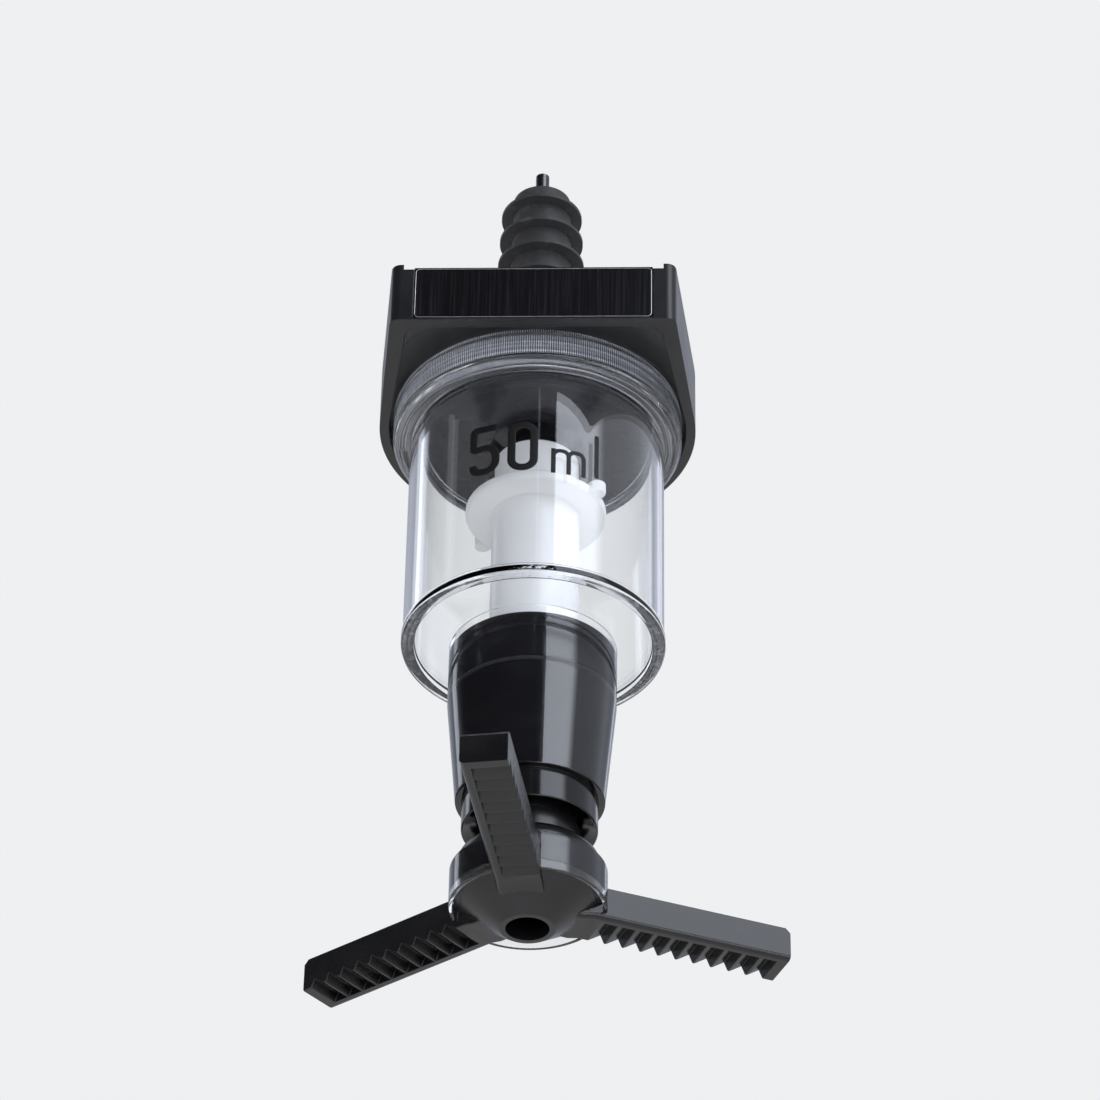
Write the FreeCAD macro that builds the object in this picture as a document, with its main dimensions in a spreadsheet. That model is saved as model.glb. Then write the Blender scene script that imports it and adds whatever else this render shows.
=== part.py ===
import FreeCAD, Part
import math
import os
import re

import Sketcher

# A 50 ml spirit measure for an upturned bottle. A rubber stopper holds it in the bottle's neck.
# Spirit runs down the inlet spigot into the clear chamber. A glass pushed up against the star's
# arms lifts the white valve: its pad shuts the inlet, its ports rise above the chamber's floor, and
# the measured spirit leaves through the valve tube, the spindle and the nozzle.
#
# Frame: millimetres, +Z up along the chamber's axis, label to the front (-Y). The origin is where
# the bottle's mouth sits on the seat washer, on the stopper's axis.

VECTOR = FreeCAD.Vector

SIZES = [
    # Bottle seat and stopper
    ("stopper_radius", 9.25, "sealing land in the bottle's neck"),
    ("land_height", 5.0, "land above the bottle seat"),
    ("foot_radius", 10.3, "stopper's foot in the head"),
    ("foot_height", 2.0, "stopper's foot"),
    ("stopper_height", 44.0, "stopper's top above the bottle seat"),
    ("core_radius", 6.4, "stopper's core above the land"),
    ("core_tip_radius", 5.5, "stopper's core at its top"),
    ("rib_tip_radius", 7.6, "top rib's radius"),
    ("rib_pitch", 6.0, "distance between ribs"),
    ("rib_thickness", 1.5, "rib at its root"),
    ("rib_edge", 0.7, "rib at its edge"),
    ("washer_inner", 10.8, "seat washer's hole radius"),
    ("washer_outer", 15.2, "seat washer's outer radius"),
    ("washer_thickness", 1.4, "seat washer"),
    ("washer_proud", 0.6, "seat washer above the head's top face"),
    # Inlet spigot and air tube
    ("spigot_radius", 4.8, "inlet spigot's tube in the chamber"),
    ("spigot_reach", 8.0, "inlet tube below the head's plug"),
    ("spigot_stem_radius", 4.6, "inlet spigot's stem in the stopper"),
    ("spigot_stem_height", 12.0, "stem above the bottle seat"),
    ("spigot_flange_thickness", 2.2, "inlet spigot's flange"),
    ("duct_radius", 1.15, "spirit duct"),
    ("duct_offset", 3.05, "spirit ducts round the axis"),
    ("duct_count", 4, "spirit ducts"),
    ("air_radius", 1.3, "air tube's outer radius"),
    ("air_bore", 0.85, "air tube's bore radius"),
    ("air_tube_top", 50.9, "air tube's top above the bottle seat"),
    ("air_tube_grip", 12.0, "air tube's length in the spigot"),
    ("air_port", 0.5, "air port's radius"),
    ("air_port_drop", 2.0, "air port below the head's plug"),
    ("inlet_oring_section", 1.2, "O-ring under the spigot's flange, thickness"),
    ("inlet_oring_radius", 7.2, "O-ring under the spigot's flange"),
    ("inlet_groove_width", 1.6, "groove of that O-ring"),
    # Head
    ("head_front", 33.3, "front face to the axis"),
    ("head_front_width", 51.4, "front face with square corners"),
    ("head_corner", 1.8, "rounding of the front corners"),
    ("head_height", 12.9, "skirt's edge to the lip's top"),
    ("head_lip", 1.1, "lip above the top face"),
    ("lip_width", 2.4, "lip round the top face"),
    ("skirt_front_wall", 2.3, "skirt, front"),
    ("skirt_side_wall", 2.8, "skirt, side at the front corners"),
    ("skirt_rear_wall", 1.8, "skirt, rear"),
    ("skirt_depth", 3.4, "recess inside the skirt"),
    ("recess_corner", 10.0, "rounding of the recess's front corners"),
    ("web_step", 0.6, "corner web above the skirt's edge"),
    ("web_corner", 3.0, "rounding of the web's front corners"),
    ("label_width", 43.2, "label plate"),
    ("label_margin", 0.45, "label above the skirt's edge"),
    ("label_thickness", 0.6, "label plate"),
    ("label_corner", 0.9, "rounding of the label's lower corners"),
    ("label_inset", 0.1, "label behind the rims' face"),
    ("label_rise", 0.4, "label above the top face"),
    ("plug_radius", 21.0, "head's plug inside the chamber"),
    ("plug_drop", 3.0, "plug below the threaded boss"),
    ("boss_radius", 24.3, "threaded boss in the chamber's flange"),
    # Chamber
    ("flange_wall", 2.3, "chamber's flange outside the boss's socket"),
    ("skirt_gap", 0.8, "chamber's flange inside the head's skirt"),
    ("flange_height", 7.2, "chamber's flange"),
    ("flange_gap", 0.3, "flange below the head's recess"),
    ("flange_lip", 0.8, "lip above the groove"),
    ("flange_groove", 0.6, "groove between lip and knurled band"),
    ("groove_depth", 0.4, "groove"),
    ("flange_round", 1.6, "rounding under the knurled band"),
    ("socket_clearance", 0.2, "boss in the flange's socket"),
    ("socket_depth", 5.7, "flange's socket"),
    ("chamber_radius", 23.5, "chamber's outside"),
    ("chamber_wall", 2.1, "chamber's wall"),
    ("chamber_length", 52.3, "flange's top to the lower rim"),
    ("bead_width", 0.25, "bead of the lower rim"),
    ("bead_height", 1.8, "bead of the lower rim"),
    ("bead_round", 0.5, "bead of the lower rim"),
    ("lip_round", 0.25, "flange's upper edge"),
    ("rim_lip", 1.0, "lower rim below the cone at its inner edge"),
    ("floor_rise", 2.6, "floor's outer edge above the lower rim"),
    ("floor_foot_rise", 0.4, "floor's inner edge above the lower rim"),
    ("cone_dip", 0.9, "cone's foot below the lower rim"),
    ("chamber_seal_thickness", 1.2, "seal between boss and chamber"),
    ("chamber_seal_width", 2.8, "seal between boss and chamber"),
    # Clear spigot and what it holds
    ("sleeve_wall", 1.05, "clear spigot's wall"),
    ("collar_radius", 14.0, "black collar"),
    ("collar_drop", 1.8, "black collar's top below the lower rim"),
    ("collar_height", 9.4, "black collar"),
    ("collar_edge", 0.3, "chamfer of the collar's top"),
    ("sleeve_length", 29.7, "clear spigot below the floor"),
    ("sleeve_straight", 1.6, "straight stretch below the collar"),
    ("sleeve_end_radius", 13.3, "clear spigot's end"),
    ("sleeve_round", 0.4, "clear spigot's end"),
    ("floor_seal_radius", 10.9, "lip seal's outside"),
    ("floor_seal_thickness", 1.4, "lip seal"),
    ("seal_clearance", 0.05, "lip seal round the valve tube"),
    ("lip_groove", 0.5, "groove behind the seal's lip"),
    ("collar_clearance", 0.5, "collar round the valve tube"),
    ("housing_end_radius", 11.95, "lower housing's guide end"),
    ("housing_end_length", 6.0, "guide end below the clear spigot"),
    ("housing_round", 0.4, "guide end's edge"),
    ("cavity_radius", 11.0, "spring's room in the lower housing"),
    ("mouth_radius", 9.2, "guide end's mouth"),
    ("mouth_chamfer", 0.5, "guide end's mouth"),
    ("bush_wall", 1.3, "guide bush"),
    ("bush_flange_radius", 10.9, "guide bush's flange"),
    ("bush_flange_thickness", 1.0, "guide bush's flange"),
    ("bush_length", 5.5, "guide bush"),
    ("bush_rise", 5.0, "guide bush's top above the clear spigot's end"),
    ("housing_oring_section", 1.0, "O-ring on the lower housing, thickness"),
    # Spring
    ("spring_radius", 9.5, "spring's mean radius"),
    ("spring_wire", 1.0, "spring's wire, thickness"),
    ("spring_turns", 4.5, "spring's turns"),
    ("spring_washer_inner", 8.9, "spring washer's hole radius"),
    ("spring_washer_outer", 10.7, "spring washer's outer radius"),
    ("spring_washer_thickness", 0.6, "spring washer"),
    # Valve
    ("lever_stroke", 5.2, "travel of valve and star"),
    ("pad_gap", 0.05, "inlet pad below the inlet tube when lifted"),
    ("valve_radius", 8.0, "valve cap and valve tube"),
    ("valve_bore", 5.6, "valve tube's bore radius"),
    ("cap_bore", 6.6, "valve cap's bore radius"),
    ("cap_overlap", 4.6, "valve cap above the inlet tube's end"),
    ("cap_step", 0.2, "thinner upper part of the cap"),
    ("cap_step_drop", 7.6, "thinner upper part of the cap, height"),
    ("cap_round", 1.0, "cap's rounded rim"),
    ("cap_room", 0.7, "plug's recess round and above the lifted cap"),
    ("pad_thickness", 1.5, "inlet pad"),
    ("valve_web", 1.2, "web under the inlet pad"),
    ("disc_drop", 11.0, "disc below the cap's top"),
    ("disc_radius", 12.9, "disc"),
    ("disc_thickness", 2.1, "disc"),
    ("disc_round", 0.7, "disc's rounded edge"),
    ("lug_radius", 1.5, "disc's lugs"),
    ("lug_offset", 12.6, "disc's lugs, from the axis"),
    ("lug_rise", 0.6, "disc's lugs above the disc"),
    ("lug_angle", 41.0, "lug turned from the right to the front"),
    ("cap_skirt", 1.8, "valve head below the disc"),
    ("tube_spigot_radius", 6.7, "valve tube's ends"),
    ("tube_spigot_gap", 0.2, "valve tube's ends short of their sockets"),
    ("port_height", 3.4, "outlet ports"),
    ("port_width", 5.0, "outlet ports"),
    ("port_gap", 0.2, "outlet ports below the lip seal"),
    ("port_count", 4, "outlet ports"),
    # Spindle
    ("guide_clearance", 0.06, "spindle in the guide bush"),
    ("spindle_flange_radius", 10.6, "spindle's flange"),
    ("spindle_flange_thickness", 2.0, "spindle's flange"),
    ("spindle_head", 6.4, "spindle above its flange"),
    ("spindle_socket", 5.0, "spindle's socket for the valve tube"),
    ("spindle_bore", 4.4, "spindle's bore radius"),
    ("tube_oring_section", 0.8, "O-ring on the valve tube, thickness"),
    ("journal_radius", 6.9, "spindle's journal in the star"),
    ("journal_clearance", 0.06, "spindle's journal in the star"),
    ("journal_length", 10.3, "spindle's journal"),
    ("journal_play", 0.3, "spindle's shoulder above the star's neck"),
    ("spindle_oring_section", 0.9, "O-ring on the journal, thickness"),
    ("spindle_oring_drop", 3.0, "O-ring below the star's neck"),
    ("oring_groove_width", 1.2, "groove of that O-ring"),
    ("snap_radius", 7.9, "snap ring's outside"),
    ("snap_depth", 0.7, "snap ring's reach into the journal"),
    ("snap_clearance", 0.06, "snap ring's hole round the journal's groove"),
    ("snap_thickness", 0.8, "snap ring"),
    ("snap_play", 0.2, "snap ring in the journal's and the star's grooves"),
    ("snap_drop", 8.0, "snap ring below the star's neck"),
    ("snap_opening", 1.2, "snap ring's opening"),
    # Star and splash ring
    ("neck_gap", 1.4, "star's neck below the guide end"),
    ("neck_radius", 8.86, "star's neck"),
    ("neck_height", 4.3, "star's neck"),
    ("hub_radius", 13.0, "star's hub"),
    ("shoulder_height", 4.8, "hub's rounded shoulder"),
    ("shoulder_round", 4.1, "hub's rounded shoulder"),
    ("hub_height", 5.0, "hub below its shoulder"),
    ("hub_chamfer", 0.5, "hub's lower edge"),
    ("nozzle_drop", 5.5, "nozzle below the hub"),
    ("nozzle_rim", 1.0, "nozzle's rim round its hole"),
    ("nozzle_bore", 3.8, "nozzle's hole radius"),
    ("nozzle_length", 4.2, "nozzle's straight hole"),
    ("journal_room", 0.3, "star's bore below the journal"),
    ("arm_reach", 47.6, "arm's tip from the axis"),
    ("arm_width", 8.1, "arm"),
    ("arm_height", 6.15, "arm"),
    ("arm_drop", 2.65, "arm's underside below the hub"),
    ("arm_tip_chamfer", 0.9, "arm's tip"),
    ("arm_start", 6.0, "arm's inner end in the hub"),
    ("arm_bevel", 0.4, "bevel along the arm's open side"),
    ("arm_round", 0.9, "rounding along the arm's closed side"),
    ("arm_wall", 1.7, "plain strip beside the teeth"),
    ("arm_turn", -7.1, "star's turn at rest, from the label's side"),
    ("arm_count", 3, "arms"),
    ("ramp_outer", 10.9, "ramp between arm and nozzle, outer end"),
    ("ramp_inner", 8.9, "ramp between arm and nozzle, inner end"),
    ("ramp_drop", 0.45, "ramp between arm and nozzle"),
    ("tooth_pitch", 3.33, "teeth under the arm"),
    ("tooth_depth", 1.7, "teeth under the arm, beside the plain strip"),
    ("tooth_run_out", 0.4, "teeth under the arm, at the open side"),
    ("tooth_start", 1.85, "outermost tooth's edge from the arm's tip"),
    ("tooth_root", 12.4, "innermost tooth's edge from the axis, at least"),
    ("tooth_steep", 0.75, "steep side of a tooth along the arm"),
    ("ring_wall", 0.6, "splash ring"),
    ("ring_height", 7.9, "splash ring"),
    ("ring_drop", 2.1, "splash ring below the hub"),
    ("ring_notch_gap", 0.2, "splash ring's notches round the arms"),
]

# Heights above the bottle seat, each worked out from the sizes and the heights before it.
LEVELS = [
    ("top_face", "-washer_proud"),
    ("washer_floor", "-washer_thickness"),
    ("lip_top", "top_face + head_lip"),
    ("skirt_edge", "lip_top - head_height"),
    ("head_ceiling", "skirt_edge + skirt_depth"),
    ("foot_bottom", "top_face - foot_height"),
    ("spigot_seat", "foot_bottom - spigot_flange_thickness"),
    ("flange_top", "head_ceiling - flange_gap"),
    ("socket_floor", "flange_top - socket_depth"),
    ("boss_end", "socket_floor + chamber_seal_thickness"),
    ("plug_end", "boss_end - plug_drop"),
    ("air_port_level", "plug_end - air_port_drop"),
    ("flange_end", "flange_top - flange_height"),
    ("rim_end", "flange_top - chamber_length"),
    ("floor_edge", "rim_end + floor_rise"),
    ("floor_foot", "rim_end + floor_foot_rise"),
    ("cone_foot", "rim_end - cone_dip"),
    ("collar_top", "rim_end - collar_drop"),
    ("seal_end", "collar_top - floor_seal_thickness"),
    ("collar_end", "collar_top - collar_height"),
    ("straight_end", "collar_end - sleeve_straight"),
    ("sleeve_end", "collar_top - sleeve_length"),
    ("housing_end", "sleeve_end - housing_end_length"),
    ("bush_top", "sleeve_end + bush_rise"),
    ("bush_seat", "bush_top - bush_flange_thickness"),
    ("bush_end", "bush_top - bush_length"),
    ("spring_top", "collar_end - spring_washer_thickness"),
    ("spindle_flange_top", "bush_top + spindle_flange_thickness"),
    ("spindle_top", "spindle_flange_top + spindle_head"),
    ("socket_end", "spindle_top - spindle_socket"),
    ("inlet_end", "plug_end - spigot_reach"),
    ("pad_top", "inlet_end - lever_stroke - pad_gap"),
    ("web_top", "pad_top - pad_thickness"),
    ("web_end", "web_top - valve_web"),
    ("cap_top", "inlet_end + cap_overlap"),
    ("cap_step_level", "cap_top - cap_step_drop"),
    ("cap_recess", "cap_top + lever_stroke + cap_room"),
    ("disc_top", "cap_top - disc_drop"),
    ("disc_end", "disc_top - disc_thickness"),
    ("valve_head_end", "disc_end - cap_skirt"),
    ("port_top", "seal_end - port_gap"),
    ("port_end", "port_top - port_height"),
    ("neck_top", "housing_end - neck_gap"),
    ("journal_top", "neck_top + journal_play"),
    ("journal_end", "journal_top - journal_length"),
    ("neck_end", "neck_top - neck_height"),
    ("hub_end", "neck_end - shoulder_height - hub_height"),
    ("nozzle_end", "hub_end - nozzle_drop"),
    ("arm_end", "hub_end - arm_drop"),
    ("arm_top", "arm_end + arm_height"),
    ("snap_top", "neck_top - snap_drop"),
    ("snap_end", "snap_top - snap_thickness"),
    ("ring_end", "hub_end - ring_drop"),
    ("flange_radius", "boss_radius + socket_clearance + flange_wall"),
    ("head_radius", "flange_radius + skirt_gap + skirt_rear_wall"),
]

doc = FreeCAD.newDocument("SpiritMeasure")
owner = {}
sheets = {}


def fill_sheet(name, rows):
    """A sheet with a meaning, a content and an alias in each row."""
    sheet = doc.addObject("Spreadsheet::Sheet", name)
    for number, (alias, content, meaning) in enumerate(rows, 1):
        sheet.set(f"A{number}", meaning)
        sheet.set(f"B{number}", content)
        sheet.setAlias(f"B{number}", alias)
        owner[alias] = name
    sheets[name] = sheet
    doc.recompute()


def bound(text):
    """An expression in which each size and level is named as the document knows it."""
    return re.sub(r"[a-z]\w*", lambda word: full_name(word.group()), text)


def full_name(word):
    return f"{owner[word]}.{word}" if word in owner else word


def value(alias):
    """The number that a size or level has now."""
    return float(sheets[owner[alias]].get(alias))


class SubPart:
    """A body drawn in the whole part's heights and placed at its own base level."""

    def __init__(self, label, base):
        self.label = label
        self.base = base
        self.body = doc.addObject("PartDesign::Body", label)
        self.body.Label = label
        self.body.setExpression("Placement.Base.z", bound(base))

    def turn_about_axis(self, angle):
        self.body.Placement = FreeCAD.Placement(VECTOR(), FreeCAD.Rotation(VECTOR(0, 0, 1), 1))
        self.body.setExpression("Placement.Base.z", bound(self.base))
        self.body.setExpression("Placement.Rotation.Angle", bound(angle))

    def local(self, height):
        return f"({height}) - ({self.base})"

    def sketch(self, name, plane, offset=None):
        """A sketch on one of the body's own origin planes, moved along its normal."""
        sketch = self.body.newObject("Sketcher::SketchObject", f"{self.label}_{name}_sketch")
        support = next(f for f in self.body.Origin.OriginFeatures if f.Role == plane)
        sketch.AttachmentSupport = (support, [""])
        sketch.MapMode = "FlatFace"
        if offset is not None:
            sketch.setExpression("AttachmentOffset.Base.z", bound(offset))
        return sketch

    def turn(self, name, corners, kind="Revolution"):
        """Turn a closed outline of (radius, height[, rounding]) corners about the axis."""
        sketch = self.sketch(name, "XZ_Plane")
        draw_polygon(sketch, [(corner[0], self.local(corner[1])) for corner in corners])
        feature = self.body.newObject(f"PartDesign::{kind}", f"{self.label}_{name}")
        feature.Profile = sketch
        feature.ReferenceAxis = (sketch, ["V_Axis"])
        feature.Angle = 360
        doc.recompute()
        for number, corner in enumerate(corners):
            if len(corner) == 3:
                spot = sketch.Geometry[number].StartPoint
                self.round_ring(f"{name}_round_{number}", spot, corner[2])
        return feature

    def ring(self, name, radius, height, section):
        """Turn a round section, as of an O-ring, about the axis."""
        sketch = self.sketch(name, "XZ_Plane")
        draw_circle(sketch, f"({section}) / 2", radius, self.local(height))
        feature = self.body.newObject("PartDesign::Revolution", f"{self.label}_{name}")
        feature.Profile = sketch
        feature.ReferenceAxis = (sketch, ["V_Axis"])
        feature.Angle = 360
        doc.recompute()

    def round_ring(self, name, spot, radius):
        """Round the circular edge through the outline's corner at spot."""
        tip = self.body.Tip
        rings = []
        for number, edge in enumerate(tip.Shape.Edges, 1):
            if isinstance(edge.Curve, Part.Circle) and abs(edge.Curve.Radius - spot.x) < 1e-4:
                if abs(edge.Curve.Center.z - spot.y) < 1e-4:
                    rings.append(f"Edge{number}")
        self.dress(name, "Fillet", rings, radius)

    def dress(self, name, kind, edges, size):
        """Round (Fillet) or cut back (Chamfer) edges of the body so far."""
        tip = self.body.Tip
        feature = self.body.newObject(f"PartDesign::{kind}", f"{self.label}_{name}")
        feature.Base = (tip, edges)
        feature.setExpression("Radius" if kind == "Fillet" else "Size", bound(size))
        doc.recompute()

    def extrude(self, name, sketch, length, kind="Pad", reversed_way=False, both_ways=False):
        """Pad or pocket a sketch by a length, or a pocket through everything with None."""
        before = self.body.Shape.Volume if self.body.Tip else 0.0
        feature = self.body.newObject(f"PartDesign::{kind}", f"{self.label}_{name}")
        feature.Profile = sketch
        feature.Reversed = reversed_way
        if both_ways:
            feature.SideType = "Symmetric"
        if length is None:
            feature.Type = "ThroughAll"
        else:
            feature.setExpression("Length", bound(length))
        doc.recompute()
        grown = self.body.Shape.Volume - before
        if (kind == "Pad") != (grown > 0):
            raise ValueError(f"{feature.Name} points the wrong way")
        return feature

    def loft_cut(self, name, first, second):
        """Cut away what lies between two sections."""
        feature = self.body.newObject("PartDesign::SubtractiveLoft", f"{self.label}_{name}")
        feature.Profile = first
        feature.Sections = [second]
        feature.Ruled = True
        doc.recompute()
        return feature

    def pattern(self, name, originals, count):
        """Repeat features round the axis."""
        pattern = self.body.newObject("PartDesign::PolarPattern", f"{self.label}_{name}")
        axis = next(f for f in self.body.Origin.OriginFeatures if f.Role == "Z_Axis")
        pattern.Originals = originals
        pattern.Axis = (axis, [""])
        pattern.Angle = 360
        pattern.setExpression("Occurrences", bound(count))
        self.body.Tip = pattern
        doc.recompute()
        return pattern


def place_point(sketch, geometry, end, across, up):
    for kind, text in (("DistanceX", across), ("DistanceY", up)):
        number = sketch.addConstraint(Sketcher.Constraint(kind, -1, 1, geometry, end, 1.0))
        sketch.setExpression(f"Constraints[{number}]", bound(text))


def draw_polygon(sketch, corners):
    """Add a closed outline of straight runs whose corners follow their expressions."""
    first = sketch.GeometryCount
    count = len(corners)
    angles = [2 * math.pi * k / count for k in range(count)]
    spots = [VECTOR(10 * math.cos(a), 10 * math.sin(a), 0) for a in angles]
    for k in range(count):
        sketch.addGeometry(Part.LineSegment(spots[k], spots[(k + 1) % count]), False)
    for k in range(count):
        ends = (first + k, 2, first + (k + 1) % count, 1)
        sketch.addConstraint(Sketcher.Constraint("Coincident", *ends))
    for k, (across, up) in enumerate(corners):
        place_point(sketch, first + k, 1, across, up)


def draw_circle(sketch, radius, across="0", up="0"):
    number = sketch.addGeometry(Part.Circle(VECTOR(0, 0, 0), VECTOR(0, 0, 1), 5), False)
    place_point(sketch, number, 3, across, up)
    fixed = sketch.addConstraint(Sketcher.Constraint("Radius", number, 5))
    sketch.setExpression(f"Constraints[{fixed}]", bound(radius))


def draw_head_plan(sketch, radius, half_width, front):
    """An arc about the axis behind, two sides tangent to it and a straight front."""
    start = value("head_radius")
    arc = Part.ArcOfCircle(Part.Circle(VECTOR(0, 0, 0), VECTOR(0, 0, 1), start), -0.1, math.pi + 0.1)
    corners = [VECTOR(-0.87 * start, -1.1 * start, 0), VECTOR(0.87 * start, -1.1 * start, 0)]
    sketch.addGeometry(arc, False)
    sketch.addGeometry(Part.LineSegment(arc.EndPoint, corners[0]), False)
    sketch.addGeometry(Part.LineSegment(corners[0], corners[1]), False)
    sketch.addGeometry(Part.LineSegment(corners[1], arc.StartPoint), False)
    sketch.addConstraint(Sketcher.Constraint("Coincident", 0, 3, -1, 1))
    fixed = sketch.addConstraint(Sketcher.Constraint("Radius", 0, start))
    sketch.setExpression(f"Constraints[{fixed}]", bound(radius))
    sketch.addConstraint(Sketcher.Constraint("Tangent", 0, 2, 1, 1))
    sketch.addConstraint(Sketcher.Constraint("Coincident", 1, 2, 2, 1))
    sketch.addConstraint(Sketcher.Constraint("Coincident", 2, 2, 3, 1))
    sketch.addConstraint(Sketcher.Constraint("Tangent", 3, 2, 0, 1))
    place_point(sketch, 2, 1, f"-({half_width})", f"-({front})")
    place_point(sketch, 2, 2, half_width, f"-({front})")


def round_front_corners(part, name, radius, front, height):
    """Round the two upright edges of a head plan's front, from the part's base up to a height."""
    upright = []
    for number, edge in enumerate(part.body.Tip.Shape.Edges, 1):
        low, high = (vertex.Point for vertex in edge.Vertexes[:1] + edge.Vertexes[-1:])
        straight = abs(low.x - high.x) < 1e-4 and abs(low.y - high.y) < 1e-4
        at_front = abs(low.y + front) < 1e-4 and abs((low.z + high.z) / 2 - height / 2) < 1e-3
        if straight and at_front:
            upright.append(f"Edge{number}")
    part.dress(name, "Fillet", upright, radius)


def make_bottle_stopper():
    """Ribbed bung: foot in the head, sealing land, tapered core and ribs that flare downwards."""
    part = SubPart("bottle_stopper", "foot_bottom")
    ribs = int((value("stopper_height") - value("land_height")) / value("rib_pitch"))
    slope = "(core_radius - core_tip_radius) / (stopper_height - land_height)"
    rib_slope = "(stopper_radius - rib_tip_radius) / (stopper_height - land_height)"
    outline = [
        ("spigot_stem_radius", "foot_bottom"),
        ("foot_radius", "foot_bottom"),
        ("foot_radius", "top_face"),
        ("stopper_radius", "top_face"),
        ("stopper_radius", "land_height"),
    ]
    for rib in range(ribs):
        rise = f"{rib + 1} * rib_pitch"
        core = f"core_radius - ({rise}) * {slope}"
        edge = f"stopper_radius - ({rise}) * {rib_slope}"
        under = f"land_height + {rise} - rib_thickness"
        if rib == 0:
            outline.append(("core_radius", "land_height"))
        outline.append((core, under))
        outline.append((edge, under))
        outline.append((edge, f"{under} + rib_edge"))
        outline.append((core, f"{under} + rib_thickness"))
    outline.append(("core_tip_radius", "stopper_height"))
    outline.append(("spigot_stem_radius", "stopper_height"))
    part.turn("bung", outline)


def make_seat_washer():
    part = SubPart("seat_washer", "washer_floor")
    part.turn(
        "ring",
        [
            ("washer_inner", "washer_floor"),
            ("washer_outer", "washer_floor"),
            ("washer_outer", "0"),
            ("washer_inner", "0"),
        ],
    )


def make_inlet_spigot():
    """Stem in the stopper, flange in the head and tube into the valve cap.

    Four ducts carry the spirit round the air tube's socket, whose duct ends in a side port.
    """
    part = SubPart("inlet_spigot", "inlet_end")
    part.turn(
        "shape",
        [
            ("0", "inlet_end"),
            ("spigot_radius", "inlet_end"),
            ("spigot_radius", "spigot_seat"),
            ("foot_radius", "spigot_seat"),
            ("foot_radius", "foot_bottom"),
            ("spigot_stem_radius", "foot_bottom"),
            ("spigot_stem_radius", "spigot_stem_height"),
            ("0", "spigot_stem_height"),
        ],
    )
    ducts = part.sketch("ducts", "XY_Plane", part.local("spigot_stem_height"))
    draw_circle(ducts, "duct_radius", "duct_offset * cos(45)", "duct_offset * sin(45)")
    duct = part.extrude("spirit_duct", ducts, None, "Pocket")
    part.pattern("spirit_ducts", [duct], "duct_count")
    socket = part.sketch("socket", "XY_Plane", part.local("spigot_stem_height"))
    draw_circle(socket, "air_radius")
    part.extrude("air_socket", socket, "air_tube_grip", "Pocket")
    drilling = part.sketch("drilling", "XY_Plane", part.local("spigot_stem_height"))
    draw_circle(drilling, "air_bore")
    part.extrude("air_duct", drilling, "spigot_stem_height - air_port_level", "Pocket")
    port = part.sketch("port", "XZ_Plane")
    draw_circle(port, "air_port", "0", part.local("air_port_level"))
    part.extrude("air_port", port, None, "Pocket")


def make_inlet_oring():
    part = SubPart("inlet_oring", "spigot_seat")
    height = "spigot_seat - inlet_oring_section / 2"
    part.ring("section", "inlet_oring_radius", height, "inlet_oring_section")


def make_air_tube():
    part = SubPart("air_tube", "spigot_stem_height")
    section = part.sketch("section", "XY_Plane", "-air_tube_grip")
    draw_circle(section, "air_radius")
    draw_circle(section, "air_bore")
    part.extrude("tube", section, "air_tube_top - spigot_stem_height + air_tube_grip")


def make_head_housing():
    """Shell with a flat front between two rims, a deep skirt, a threaded boss and a plug."""
    part = SubPart("head_housing", "skirt_edge")
    half = "head_front_width / 2"
    plan = part.sketch("plan", "XY_Plane")
    draw_head_plan(plan, "head_radius", half, "head_front")
    part.extrude("block", plan, "head_height")
    round_front_corners(part, "corners", "head_corner", value("head_front"), value("head_height"))

    tray = part.sketch("tray", "XY_Plane", "head_height")
    tray_half = "head_front_width / 2 - lip_width"
    draw_head_plan(tray, "head_radius - lip_width", tray_half, "head_front + lip_width")
    part.extrude("tray", tray, "head_lip", "Pocket")

    inner_half = "head_front_width / 2 - skirt_side_wall"
    inner_front = "head_front - skirt_front_wall"
    inner_face = value("head_front") - value("skirt_front_wall")
    for name, depth, corner in (
        ("recess", "skirt_depth", "recess_corner"),
        ("web", "web_step", "web_corner"),
    ):
        hollow = part.sketch(name, "XY_Plane")
        draw_head_plan(hollow, "head_radius - skirt_rear_wall", inner_half, inner_front)
        part.extrude(name, hollow, depth, "Pocket", reversed_way=True)
        round_front_corners(part, f"{name}_corners", corner, inner_face, value(depth))

    label = part.sketch("label", "XZ_Plane", "head_front")
    low = "label_margin"
    high = "head_height + head_lip"
    side = "label_width / 2"
    corners = [(f"-{side}", low), (side, low), (side, high), (f"-{side}", high)]
    draw_polygon(label, corners)
    part.extrude("label_seat", label, "label_thickness + label_inset", "Pocket")

    part.turn(
        "boss",
        [
            ("0", "head_ceiling + head_lip"),
            ("boss_radius", "head_ceiling + head_lip"),
            ("boss_radius", "boss_end"),
            ("plug_radius", "boss_end"),
            ("plug_radius", "plug_end"),
            ("valve_radius + cap_room", "plug_end"),
            ("valve_radius + cap_room", "cap_recess"),
            ("0", "cap_recess"),
        ],
    )
    part.turn(
        "bores",
        [
            ("0", "plug_end"),
            ("spigot_radius", "plug_end"),
            ("spigot_radius", "spigot_seat"),
            ("inlet_oring_radius - inlet_groove_width / 2", "spigot_seat"),
            ("inlet_oring_radius - inlet_groove_width / 2", "spigot_seat - inlet_oring_section"),
            ("inlet_oring_radius + inlet_groove_width / 2", "spigot_seat - inlet_oring_section"),
            ("inlet_oring_radius + inlet_groove_width / 2", "spigot_seat"),
            ("foot_radius", "spigot_seat"),
            ("foot_radius", "washer_floor"),
            ("washer_outer", "washer_floor"),
            ("washer_outer", "lip_top"),
            ("0", "lip_top"),
        ],
        "Groove",
    )


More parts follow.
